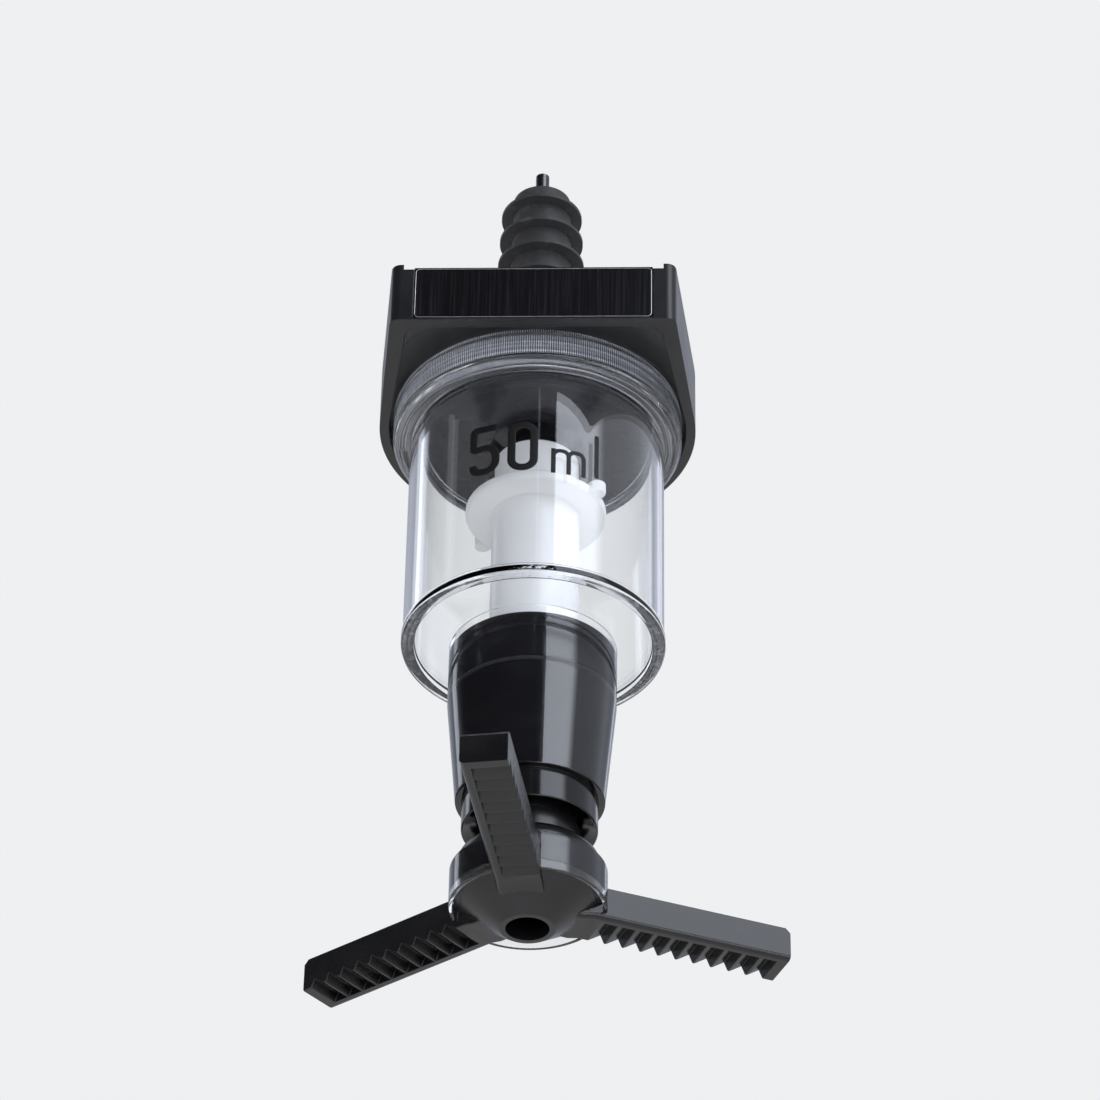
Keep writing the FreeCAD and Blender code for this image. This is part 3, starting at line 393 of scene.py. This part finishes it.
def moulded(name, colour, rough, grain=0.5, edge=0.25, wear=1.0, lit=None):
    """Moulded plastic: fine grain, faint flow marks and dust, rubbed shinier in patches.

    Within a radius and below a height, both in millimetres, it has a polish, and its colour is lifted there
    as painted light.
    """
    finish = new_finish(name)
    place = finish.place()
    cloud = finish.noise(place, 0.12, 3.0, 0.6)
    fine = finish.noise(place, 5.0, 3.0, 0.6)
    pits = finish.noise(place, 1.7, 1.0, 0.4)
    scuffs = finish.noise(finish.place((0.25, 3.5, 0.5), (0.2, 0.4, 0.9)), 1.0, 4.0, 0.7)
    marks = finish.smooth(scuffs, 0.62, 0.74)
    lighter = tuple(min(1.0, part * 1.8 + 0.003) for part in colour)
    base = finish.blend(finish.smooth(cloud, 0.35, 0.75) * 0.5 + marks * 0.25 * wear, colour, lighter)
    if lit:
        across, along, up = finish.split(place)
        near = finish.maths("SQRT", across * across + along * along) < lit[0]
        polish_and_painted_light = near * (up < lit[1])
        # painted light: in that patch the black is lifted to grey for light falling on the ceiling; the
        # roughness and relief below give the polish
        base = finish.blend(polish_and_painted_light * (0.7 + cloud * 0.5), base, (0.022, 0.022, 0.026))
    roughness = rough + (cloud - 0.5) * 0.16 * wear + marks * 0.06 * wear + (pits - 0.5) * 0.05 * wear
    height = fine * 0.7 + pits * 0.3
    if lit:
        roughness = roughness * (1 - polish_and_painted_light * 0.7)
        height = height * (1 - polish_and_painted_light * 0.9)
    relief = finish.bump(height, grain, 0.05, edge)
    return finish.surface({"Base Color": base, "Roughness": roughness, "Normal": relief, "IOR": 1.5})


def rubber(name, colour):
    finish = new_finish(name)
    place = finish.place()
    dust = finish.noise(place, 0.35, 5.0, 0.65)
    grain = finish.noise(place, 3.0, 3.0, 0.6)
    lighter = tuple(part + 0.045 for part in colour)
    return finish.surface(
        {
            "Base Color": finish.blend(finish.smooth(dust, 0.5, 0.8) * 0.6, colour, lighter),
            "Roughness": 0.62 + (dust - 0.5) * 0.25,
            "Normal": finish.bump(grain, 0.35, 0.06),
            "Sheen Weight": 0.12,
            "Sheen Roughness": 0.5,
        }
    )


def steel(name, dark=(0.5, 0.5, 0.52), pale=(0.72, 0.72, 0.73)):
    finish = new_finish(name)
    brushed = finish.noise(finish.place((1.0, 1.0, 14.0)), 1.2, 4.0, 0.7)
    cloud = finish.noise(finish.place(), 0.3, 2.0, 0.5)
    return finish.surface(
        {
            "Base Color": finish.blend(brushed, dark, pale),
            "Metallic": 1.0,
            "Roughness": 0.22 + brushed * 0.14 + (cloud - 0.5) * 0.1,
            "Normal": finish.bump(brushed, 0.12, 0.03),
        }
    )


def label_face(name):
    """Gloss black printed foil, with the faintest brushing up and down."""
    finish = new_finish(name)
    brushed = finish.noise(finish.place((3.0, 1.0, 0.05)), 1.0, 3.0, 0.6)
    cloud = finish.noise(finish.place(), 0.15, 2.0, 0.5)
    return finish.surface(
        {
            "Base Color": finish.blend(
                finish.smooth(brushed, 0.4, 0.75), (0.0025, 0.0025, 0.003), (0.008, 0.008, 0.010)
            ),
            "Roughness": 0.12 + brushed * 0.08 + (cloud - 0.5) * 0.05,
            "Normal": finish.bump(brushed, 0.03, 0.03),
            "IOR": 1.5,
        }
    )


def printed(name):
    """Flat black printing ink."""
    finish = new_finish(name)
    grain = finish.noise(finish.place(), 6.0, 3.0, 0.6)
    return finish.surface(
        {
            "Base Color": finish.blend(grain, (0.002, 0.002, 0.002), (0.006, 0.006, 0.006)),
            "Roughness": 0.5 + (grain - 0.5) * 0.2,
            "Normal": finish.bump(grain, 0.2, 0.02),
            "Specular IOR Level": 0.3,
        }
    )


def white_plastic(name):
    finish = new_finish(name)
    place = finish.place()
    cloud = finish.noise(place, 0.15, 3.0, 0.55)
    fine = finish.noise(place, 2.2, 3.0, 0.55)
    return finish.surface(
        {
            "Base Color": finish.blend(cloud, (0.88, 0.88, 0.875), (0.93, 0.93, 0.93)),
            "Roughness": 0.24 + (cloud - 0.5) * 0.14,
            "Normal": finish.bump(fine, 0.08, 0.05),
            "Subsurface Weight": 0.15,
            "Subsurface Radius": (1.0, 1.0, 1.0),
            "Subsurface Scale": 0.001,
        }
    )


def clear_plastic(name):
    """Clear moulded plastic with faint drag lines and wiped-on haze, which lets light through."""
    finish = new_finish(name)
    haze = finish.noise(finish.place(), 0.12, 3.0, 0.6)
    lines = finish.noise(finish.place((1.6, 1.6, 0.03)), 1.0, 2.0, 0.5)
    plastic = finish.node("ShaderNodeBsdfPrincipled", {
        "Base Color": finish.blend(haze, (0.95, 0.965, 0.98), (0.985, 0.99, 0.995)),
        "Roughness": finish.smooth(haze, 0.4, 0.8, 0.005, 0.04),
        "Normal": finish.bump(lines, 0.04, 0.05),
        "IOR": ACRYLIC_IOR,
        "Transmission Weight": 1.0,
    })
    return finish.lets_light_through(plastic, 0.97)


def clear_plastic_painted_sheen(name, ridges, haze, painted_sheen_shares):
    """Clear plastic: pale lines round it, part drag marks and part painted reflection, and a painted
    highlight on every fine ridge of two bands.
    """
    finish = new_finish(name)
    across, along, up = finish.split(finish.place())
    radius = finish.maths("SQRT", across * across + along * along)
    turn = finish.maths("ARCTAN2", along, across)
    where = finish.node("ShaderNodeCombineXYZ", {"X": radius * 2.2, "Y": up * 2.2, "Z": turn * 0.35})
    # lines round the wall: drag marks in the roughness and relief, and painted reflection where they mix in
    # the opaque plastic
    drag_lines_and_painted_sheen = finish.smooth(finish.noise(where, 1.0, 1.0, 0.5), 0.54, 0.62)
    # painted refraction: radial marks across the rim, for room light seen through it
    spokes = finish.node("ShaderNodeCombineXYZ", {"X": turn * 26.0, "Y": radius * 0.8, "Z": up * 0.3})
    painted_refraction_marks = finish.smooth(finish.noise(spokes, 1.0, 3.0, 0.7), 0.45, 0.75)
    # painted highlight along the top of each knurl ridge
    painted_ridge_highlight = finish.maths("SINE", turn * ridges) * 0.5 + 0.5
    groove = (up > -10.75) * (up < -10.05)
    knurled = (radius > 26.5) * (up > -14.8) * (1 - groove)
    clear = finish.node("ShaderNodeBsdfPrincipled", {
        "Base Color": finish.blend(drag_lines_and_painted_sheen, (0.93, 0.95, 0.985), (0.98, 0.985, 0.995)),
        "Roughness": finish.smooth(drag_lines_and_painted_sheen, 0.0, 1.0, 0.02, 0.06),
        "Normal": finish.bump(drag_lines_and_painted_sheen, 0.1, 0.08),
        "IOR": ACRYLIC_IOR,
        "Transmission Weight": 1.0,
    })
    # the opaque bluish plastic mixed in: a faint frost where the haze picks it, and painted reflection where
    # the lines, marks and ridge tops pick it
    pale = finish.node("ShaderNodeBsdfPrincipled", {
        "Base Color": finish.blend(painted_refraction_marks, (0.60, 0.63, 0.72), (0.85, 0.88, 0.95)),
        "Roughness": 0.15 + painted_refraction_marks * 0.1,
        "Normal": finish.bump(painted_refraction_marks, 0.2, 0.08),
        "IOR": ACRYLIC_IOR,
    })
    share = haze + drag_lines_and_painted_sheen * painted_sheen_shares[0] + painted_refraction_marks * painted_sheen_shares[1] + knurled * painted_ridge_highlight * painted_ridge_highlight * 0.5
    body = finish.node("ShaderNodeMixShader", {0: share, 1: clear, 2: pale})
    return finish.lets_light_through(body, 0.9)


# ---------------------------------------------------------------- camera, light and room


CAMERA_TURN, CAMERA_RISE, CAMERA_ROLL = 2.0, 36.55, 1.02  # degrees
CAMERA_AIM, CAMERA_SHIFT, CAMERA_DISTANCE = -39.36, 2.709, 775.0  # height looked at, step right, way back
CAMERA_LENS, CAMERA_FILM = 139.12, 36.0


def add_camera():
    """Looks up at the measure from below and in front, through a long lens."""
    turn, rise, roll = (math.radians(angle) for angle in (CAMERA_TURN, CAMERA_RISE, CAMERA_ROLL))
    ahead = Vector((-math.sin(turn) * math.cos(rise), math.cos(turn) * math.cos(rise), math.sin(rise)))
    right = Vector((math.cos(turn), math.sin(turn), 0))
    up = right.cross(ahead)
    place = Vector((0, 0, CAMERA_AIM)) + right * CAMERA_SHIFT - ahead * CAMERA_DISTANCE
    right, up = right * math.cos(roll) + up * math.sin(roll), up * math.cos(roll) - right * math.sin(roll)
    bpy.ops.object.camera_add()
    camera = bpy.context.object
    camera.name = "camera"
    camera.data.lens = CAMERA_LENS
    camera.data.sensor_width = CAMERA_FILM
    camera.data.clip_start = 0.05
    camera.data.clip_end = 60.0
    axes = Matrix((right, up, -ahead)).transposed()
    camera.matrix_world = Matrix.Translation(place * MM) @ axes.to_4x4()
    bpy.context.scene.camera = camera


def seen_through(finish):
    """Whether what is looked at is seen straight through clear plastic."""
    path = finish.node("ShaderNodeLightPath")
    outputs = path.socket.node.outputs
    glossy, diffuse = (Value(finish, outputs[kind]) for kind in ("Glossy Depth", "Diffuse Depth"))
    return Value(finish, outputs["Is Transmission Ray"]) * (glossy < 0.5) * (diffuse < 0.5)


def add_lamp(name, bearings, rises, radiance, fade, colour):
    """A soft upright lamp that faces the measure, between two bearings to the right of the front.

    It reaches from one rise to another, and its sides fade out over two shares of its width.
    """
    left, right = (math.radians(bearing) for bearing in bearings)
    low, high = (LAMP_DISTANCE * math.tan(math.radians(rise)) for rise in rises)
    turn = (left + right) / 2
    way = Vector((math.sin(turn), -math.cos(turn), 0))
    place = way * LAMP_DISTANCE + Vector((0, 0, (low + high) / 2 + LAMP_CENTRE))
    bpy.ops.object.light_add(type="AREA", location=place)
    lamp = bpy.context.object
    lamp.name = name
    lamp.rotation_euler = (-way).to_track_quat("-Z", "Y").to_euler()
    lamp.visible_transmission = rises[0] > 0  # no low lamp is seen through the chamber from behind
    width = 2 * LAMP_DISTANCE * math.tan((right - left) / 2)
    lamp.data.shape = "RECTANGLE"
    lamp.data.size, lamp.data.size_y = width, high - low
    lamp.data.energy = radiance * width * (high - low) * math.pi
    lamp.data.color = colour
    glow = Finish(lamp.data)
    across = glow.split(glow.node("ShaderNodeNewGeometry", output="Parametric"))[0]
    first, last = (glow.smooth(side, 0.0, part + 1e-3) for side, part in zip((across, 1 - across), fade))
    strength = first * last
    emission = glow.node("ShaderNodeEmission", {"Strength": strength})
    glow.node("ShaderNodeOutputLight", {"Surface": emission})


def light_world():
    """Soft even light all round, and a pale room behind whatever is looked at."""
    world = bpy.data.worlds.new("room")
    bpy.context.scene.world = world
    room = Finish(world)
    path = room.node("ShaderNodeLightPath")
    outputs = path.socket.node.outputs
    seen = room.maths("MAXIMUM", Value(room, outputs["Is Camera Ray"]), seen_through(room))
    glossy = Value(room, outputs["Is Glossy Ray"])
    way = room.split(room.node("ShaderNodeTexCoord", output="Generated"))
    rear = room.smooth(way[1], 0.2, 0.9)
    plain = room.node("ShaderNodeBackground", {"Color": (1.0, 1.0, 1.0, 1.0), "Strength": PLAIN_LIGHT})
    front = room.blend(room.smooth(way[2], -0.5, 0.15), (0.30, 0.32, 0.38), (0.03, 0.03, 0.04))
    dim = room.blend(rear, front, (0.50, 0.53, 0.62))
    shine = room.node("ShaderNodeBackground", {"Color": dim, "Strength": 1.0})
    pale = room.node("ShaderNodeBackground", {"Color": (0.86, 0.87, 0.88, 1.0), "Strength": 1.0})
    first = room.node("ShaderNodeMixShader", {0: glossy, 1: plain, 2: shine})
    second = room.node("ShaderNodeMixShader", {0: seen, 1: first, 2: pale})
    room.node("ShaderNodeOutputWorld", {"Surface": second})


FLOOR_SIZE, FLOOR_HEIGHT = 40.0, -1.6  # metres


def add_floor():
    """Pale paper, far enough down to take no hard shadow."""
    clear_selection()
    bpy.ops.mesh.primitive_plane_add(size=FLOOR_SIZE, location=(0, 0, FLOOR_HEIGHT))
    floor = named("floor")
    finish = new_finish("floor_paper")
    mottle = finish.noise(finish.place((0.001, 0.001, 0.001)), 2.0, 3.0, 0.5)
    floor.data.materials.append(
        finish.surface(
            {"Base Color": finish.blend(mottle, (0.78, 0.78, 0.78), (0.84, 0.84, 0.84)), "Roughness": 0.9}
        )
    )


PLAIN_LIGHT = 0.88
LAMP_DISTANCE = 1.0  # metres
LAMP_CENTRE = -0.05  # the height that the lamps' rises are seen from, in metres
COOL = (0.85, 0.90, 1.0)
WHITE = (1.0, 1.0, 1.0)
LAMPS = (  # name, bearings, rises, radiance, fades, colour
    ("key_lamp", (19, 66), (6, 56), 3.7, (0.01, 0.25), COOL),
    ("right_lamp", (58, 140), (6, 50), 0.55, (0.1, 0.3), COOL),
    ("front_strip", (2, 5), (31, 60), 0.7, (0.4, 0.4), COOL),
    ("left_lamp", (-86, -76), (32, 42), 0.7, (0.3, 0.3), COOL),
    ("left_rear_lamp", (-136, -118), (10, 50), 1.6, (0.3, 0.3), COOL),
    ("right_rear_lamp", (148, 160), (10, 50), 0.75, (0.3, 0.3), COOL),
    ("low_left_lamp", (-80, -12), (-27, -9), 1.6, (0.3, 0.3), COOL),
    ("low_right_lamp", (-6, 78), (-27, -9), 3.2, (0.3, 0.3), COOL),
    ("under_lamp", (10, 34), (-42, -20), 1.8, (0.3, 0.3), COOL),
    ("even_fill", (-60, 40), (-40, 10), 1.1, (0.2, 0.2), WHITE),
)
bpy.context.scene.view_settings.view_transform = "Standard"
add_camera()
light_world()
add_floor()
for lamp_settings in LAMPS:
    add_lamp(*lamp_settings)
bpy.context.object.visible_glossy = False  # the even fill lights, and is never mirrored

RIDGES = 400  # of the knurl round the chamber's flange
HEAD_CEILING = (21.2, -13.9)  # the radius and height of the ceiling over the chamber, which has a polish and is painted lighter as painted light
FINISHES = {
    "head": moulded("head_plastic", (0.004, 0.004, 0.005), 0.34, 0.5, 0.35, lit=HEAD_CEILING),
    "inner": moulded("inner_plastic", (0.003, 0.003, 0.0035), 0.10, 0.05, 0.15, 0.3),
    "housing": moulded("housing_plastic", (0.003, 0.003, 0.0035), 0.12, 0.06, 0.25, 0.4),
    "star": moulded("star_plastic", (0.004, 0.004, 0.005), 0.30, 0.4, 0.7),
    "arm": moulded("arm_plastic", (0.003, 0.003, 0.0035), 0.24, 0.35, 0.15, 0.8),
    "label": label_face("label_face"),
    "rubber": rubber("black_rubber", (0.010, 0.010, 0.011)),
    "steel": steel("spring_steel"),
    "white": white_plastic("valve_plastic"),
    "clear": clear_plastic("clear_plastic"),
    "flange": clear_plastic_painted_sheen("flange_painted_sheen", RIDGES, 0.01, (0.2, 0.0)),
    "rim": clear_plastic_painted_sheen("rim_painted_sheen", RIDGES, 0.05, (0.10, 0.22)),
    "ink": printed("print_ink"),
    "silver": steel("silver_line"),
    "dark_steel": steel("dark_steel", (0.07, 0.07, 0.075), (0.16, 0.16, 0.165)),
}
WEARS = {
    "bottle_stopper": "rubber", "seat_washer": "rubber", "inlet_spigot": "inner", "inlet_oring": "rubber",
    "air_tube": "dark_steel", "head_housing": "head", "label_plate": "label", "chamber_seal": "rubber",
    "measure_chamber": "clear", "floor_seal": "rubber", "spigot_collar": "inner", "lower_housing": "housing",
    "housing_oring": "rubber", "guide_bush": "star", "spring_washer": "steel", "return_spring": "steel",
    "valve_head": "white", "inlet_seal": "rubber", "valve_tube": "white", "tube_oring": "rubber",
    "plunger_spindle": "star", "spindle_oring": "rubber", "snap_ring": "steel", "lever_star": "star",
    "splash_ring": "clear",
}
for node, wear in WEARS.items():
    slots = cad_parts[node].data.materials
    slots.clear()
    slots.append(FINISHES[wear])

# The clear chamber, with a beaded and knurled flange, a funnel floor and a clear spigot.
FLANGE_RADIUS = 26.8
CHAMBER_INSIDE = [
    (24.5, -9.3), (24.5, -15), (21.4, -15), (21.4, -59, 0.4), (13.85, -61.2), (13.85, -74.4), (11.96, -94.6),
]
CHAMBER_OUTSIDE = [
    (13.15, -94.6, 0.25), (15.05, -74.4), (15.05, -62.5, 0.3), (21.4, -60.6, 0.2), (21.4, -61.6, 0.3),
    (23.75, -61.6, 0.6), (23.75, -59.8, 0.15), (23.5, -59.55), (23.5, -16.0, 0.3),
]
FLANGE_BEADS = [
    (24.3, -16.5, 0.25), (24.9, -16.5, 0.25), (25.2, -16.2, 0.2), (25.8, -16.2, 0.3), (26.3, -15.8, 0.2),
    (26.4, -15.5, 0.2), (FLANGE_RADIUS, -15.2, 0.3),
]
FLANGE_EDGE = [
    (FLANGE_RADIUS, -14.85), (FLANGE_RADIUS, -14.7), (FLANGE_RADIUS, -10.9), (FLANGE_RADIUS, -10.7),
    (26.4, -10.7), (26.4, -10.1), (FLANGE_RADIUS, -10.1), (FLANGE_RADIUS, -10.0), (FLANGE_RADIUS, -9.6),
    (FLANGE_RADIUS, -9.3, 0.25),
]
chamber = turned("chamber", CHAMBER_INSIDE + CHAMBER_OUTSIDE + FLANGE_BEADS + FLANGE_EDGE, 2 * RIDGES)
knurl(chamber, FLANGE_RADIUS, -14.75, -10.8, RIDGES, 0.09)
knurl(chamber, FLANGE_RADIUS, -10.05, -9.58, RIDGES, 0.07)
for finish_name in ("clear", "flange", "rim", "inner"):
    chamber.data.materials.append(FINISHES[finish_name])
FLANGE_FACES, RIM_FACES, SPIGOT_END_FACES = 1, 2, 3
for face in chamber.data.polygons:
    place = face.center / MM
    wide = math.hypot(place.x, place.y)
    if wide > 25.0 or (wide > 22.0 and place.z > -17.5):
        face.material_index = FLANGE_FACES
    if wide > 21.5 and place.z < -61.2:
        face.material_index = RIM_FACES
    if place.z < -94.5:
        face.material_index = SPIGOT_END_FACES
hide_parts("measure_chamber")
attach(chamber, "measure")

# The black housing closes the clear spigot's end, and its guide end takes the star's neck.
GUIDE = [
    (11, -72.8), (13, -72.8), (13, -73.8), (14, -73.8), (14, -74.4), (12.12, -94.55), (11.95, -94.55),
    (11.95, -100.5, 0.25), (11.62, -100.5), (9.2, -98.6), (9.2, -93.6), (9.36, -93.6), (9.36, -89.1),
    (11, -89.1),
]
guide = turned("guide_housing", GUIDE)
guide.data.materials.append(FINISHES["housing"])
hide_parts("lower_housing")
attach(guide, "measure")

# The clear ring stands in its groove round the star's hub, pressed tight to it.
SPLASH_RING = [(13.7, -116.1, 0.2), (13.7, -108.8, 0.2), (12.9, -108.8, 0.2), (12.9, -116.1, 0.2)]
drip_ring = turned("drip_ring", SPLASH_RING)
drip_ring.data.materials.append(FINISHES["clear"])
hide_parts("splash_ring")
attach(drip_ring, "lever")

# The lever star: a hub with the nozzle's cone, and three arms with a row of saw teeth below.
HUB = [
    (3.8, -120.1), (4.8, -120.1, 0.2), (12.5, -114.767), (13.0, -114.1), (13.0, -104.8, 4.1), (8.86, -104.8),
    (8.86, -100.5), (6.96, -100.5), (6.96, -108.5), (7.9, -108.5), (7.9, -109.5), (6.96, -109.5),
    (6.96, -110.8), (3.8, -115.9),
]
ARM_LOW, ARM_HIGH = -117.25, -111.1
ARM = [
    (6.9, ARM_HIGH), (46.7, ARM_HIGH), (47.6, ARM_HIGH - 0.9), (47.6, ARM_LOW), (10.9, ARM_LOW),
    (8.9, ARM_LOW - 0.45), (6.9, ARM_LOW - 0.45),
]
ARM_HALF = 4.05  # half an arm's width
ARM_TURN = -97.1  # degrees from the right round to the first arm
ARM_COUNT = 3
STRIP = 1.7  # left plain beside the teeth
ARM_BEVEL = 0.1
TOOTH_LAND = 0.08
CUT_PAST = 2.0
TOOTH_START, TOOTH_PITCH, TOOTH_STEEP, TOOTH_DEPTH, TOOTH_COUNT = 45.75, 3.33, 0.75, 1.65, 10


def add_arm():
    """One arm out to the right, its plain strip at the front and its teeth open to the back."""
    arm = prism("arm", ARM, -ARM_HALF, ARM_HALF)
    choose(arm)
    bpy.ops.object.mode_set(mode="EDIT")
    for side, size, steps in ((-1, 0.9, 5), (1, 0.3, 2)):
        select_edges(arm, lambda corner: corner.y * side > ARM_HALF - NEAR and corner.z < ARM_LOW + NEAR)
        bpy.ops.mesh.bevel(offset=size * MM, segments=steps, affect="EDGES")
    bpy.ops.object.mode_set(mode="OBJECT")
    row_end = TOOTH_START - TOOTH_COUNT * TOOTH_PITCH
    row = [(row_end, ARM_LOW - CUT_PAST), (TOOTH_START, ARM_LOW - CUT_PAST)]
    for number in range(TOOTH_COUNT):
        tip = TOOTH_START - number * TOOTH_PITCH
        row += [(tip, ARM_LOW - TOOTH_LAND), (tip - TOOTH_STEEP, ARM_LOW + TOOTH_DEPTH)]
    row.append((row_end, ARM_LOW - TOOTH_LAND))
    teeth = prism("teeth", row, STRIP - ARM_HALF, ARM_HALF + 1.0)
    apply_modifier(arm, "BOOLEAN", operation="DIFFERENCE", object=teeth, solver="EXACT")
    choose(teeth)
    bpy.ops.object.delete()
    apply_modifier(
        arm, "BEVEL", width=ARM_BEVEL * MM, segments=2, limit_method="ANGLE", angle_limit=math.radians(35)
    )
    return arm


def add_star():
    """The hub, and one arm copied round it."""
    hub = turned("hub", HUB)
    arms = [add_arm()]
    while len(arms) < ARM_COUNT:
        choose(arms[0])
        bpy.ops.object.duplicate()
        arms.append(bpy.context.object)
    for number, arm in enumerate(arms):
        arm.rotation_euler = (0, 0, math.radians(ARM_TURN + number * 360 / ARM_COUNT))
    star = joined("star_body", [hub] + arms)
    even_normals(star)
    return star


star = add_star()
star.data.materials.append(FINISHES["arm"])
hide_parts("lever_star")
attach(star, "lever")

# The spring stands between the collar's washer and the spindle's flange, which lifts; the coil is built at
# its node's height.
SPRING_TURNS, SPRING_RADIUS, WIRE_RADIUS = 4.5, 9.5, 0.5
SPRING_STEPS, WIRE_SIDES = 180, 16


def add_spring():
    """A ring of wire drawn up a screw, as high as the node that it stands for."""
    low, high = (corner[2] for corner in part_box("return_spring"))
    clear_selection()
    place = (SPRING_RADIUS * MM, 0, low + WIRE_RADIUS * MM)
    bpy.ops.mesh.primitive_circle_add(
        vertices=WIRE_SIDES, radius=WIRE_RADIUS * MM, location=place, rotation=(math.pi / 2, 0, 0)
    )
    spring = named("spring_coil")
    apply_modifier(
        spring, "SCREW", angle=SPRING_TURNS * math.tau, screw_offset=high - low - 2 * WIRE_RADIUS * MM,
        steps=SPRING_STEPS, render_steps=SPRING_STEPS,
    )
    bpy.ops.object.mode_set(mode="EDIT")
    bpy.ops.mesh.select_all(action="SELECT")
    bpy.ops.mesh.fill_holes(sides=WIRE_SIDES)
    bpy.ops.mesh.normals_make_consistent(inside=False)
    bpy.ops.object.mode_set(mode="OBJECT")
    even_normals(spring)
    spring.data.materials.append(FINISHES["steel"])
    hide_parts("return_spring")
    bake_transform(spring)


add_spring()

# The white valve: cap, disc with two lugs on its rim, and a skirt on the tube.
VALVE = [
    (8, -35.1), (8, -33.3, 0.5), (12.9, -33.3, 0.8), (12.9, -31.2, 0.8), (8, -31.2, 0.3), (8, -27.8),
    (7.8, -27.7), (7.8, -20.2, 0.8), (6.6, -20.2, 0.3), (6.6, -31.55), (AXIS, -31.55), (AXIS, -32.75),
    (6.7, -32.75), (6.7, -35.1),
]
LUG_OFFSET = 13.4
LUG_HEIGHT = -31.95
LUG_RADIUS, LUG_DEPTH, LUG_ROUNDING = 1.6, 2.4, 0.4


def add_lug(name, turn):
    """A short round lug with rounded ends, at a turn from the right round to the front."""
    clear_selection()
    place = Vector((LUG_OFFSET * math.cos(turn), -LUG_OFFSET * math.sin(turn), LUG_HEIGHT)) * MM
    bpy.ops.mesh.primitive_cylinder_add(
        vertices=40, radius=LUG_RADIUS * MM, depth=LUG_DEPTH * MM, location=place
    )
    lug = named(name)
    bpy.ops.object.mode_set(mode="EDIT")
    for side in (1, -1):
        select_edges(lug, lambda corner: (corner.z - LUG_HEIGHT) * side > LUG_DEPTH / 2 - 0.1)
        bpy.ops.mesh.bevel(offset=LUG_ROUNDING * MM, segments=3, affect="EDGES")
    bpy.ops.object.mode_set(mode="OBJECT")
    even_normals(lug)
    return lug


valve = turned("valve_cap", VALVE, 160)
valve.data.materials.append(FINISHES["white"])
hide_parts("valve_head")
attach(valve, "plunger")
for name, turn in (("front_lug", 34), ("rear_lug", 220)):
    lug = add_lug(name, math.radians(turn))
    lug.data.materials.append(FINISHES["white"])
    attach(lug, "plunger")

# The capacity is printed on the chamber's wall in black. Lengths run round the wall and up.
PRINT_RADIUS = 23.52
FIVE = [
    (-6.6, -28.6), (-10.95, -28.6, 0.5), (-10.95, -33.0, 0.5), (-6.6, -33.0, 2.0), (-6.6, -38.25, 2.0),
    (-11.0, -38.25, 1.6), (-11.0, -36.4),
]
NOUGHT = [(-3.7, -28.9, 1.85), (0.35, -28.9, 1.85), (0.35, -38.4, 1.85), (-3.7, -38.4, 1.85)]
LETTER_M = (
    [(3.85, -39.5), (3.85, -34.0)],
    [(3.85, -35.6), (3.85, -34.4, 1.2), (6.65, -34.4, 1.2), (6.65, -39.5)],
    [(6.65, -35.6), (6.65, -34.4, 1.2), (9.45, -34.4, 1.2), (9.45, -39.5)],
)
LETTER_L = [(12.0, -38.8), (12.0, -29.3)]

FIGURE_WIDTH, M_WIDTH, L_WIDTH = 1.5, 0.85, 0.9
strokes = [stroke("five", FIVE, FIGURE_WIDTH), stroke("nought", NOUGHT, FIGURE_WIDTH, closed=True)]
strokes += [stroke("letter_m", part, M_WIDTH) for part in LETTER_M]
strokes.append(stroke("letter_l", LETTER_L, L_WIDTH))
capacity = joined("capacity_mark", strokes)
wrap(capacity, PRINT_RADIUS)
capacity.data.materials.append(FINISHES["ink"])
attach(capacity, "measure")

# A fine silver line runs round the label's face.
label_low, label_high = (Vector(corner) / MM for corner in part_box("label_plate"))
INSET, CORNER, LINE_WIDTH = 0.25, 0.8, 0.16
left, right = label_low.x + INSET, label_high.x - INSET
bottom, top = label_low.z + INSET, label_high.z - INSET
BORDER = [(left, top, CORNER), (right, top, CORNER), (right, bottom, CORNER), (left, bottom, CORNER)]
border = stroke("label_border", BORDER, LINE_WIDTH, closed=True, rise=0.06)
move_all(border, (0, label_low.y - 0.005, 0))
border.data.materials.append(FINISHES["silver"])
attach(border, "measure")
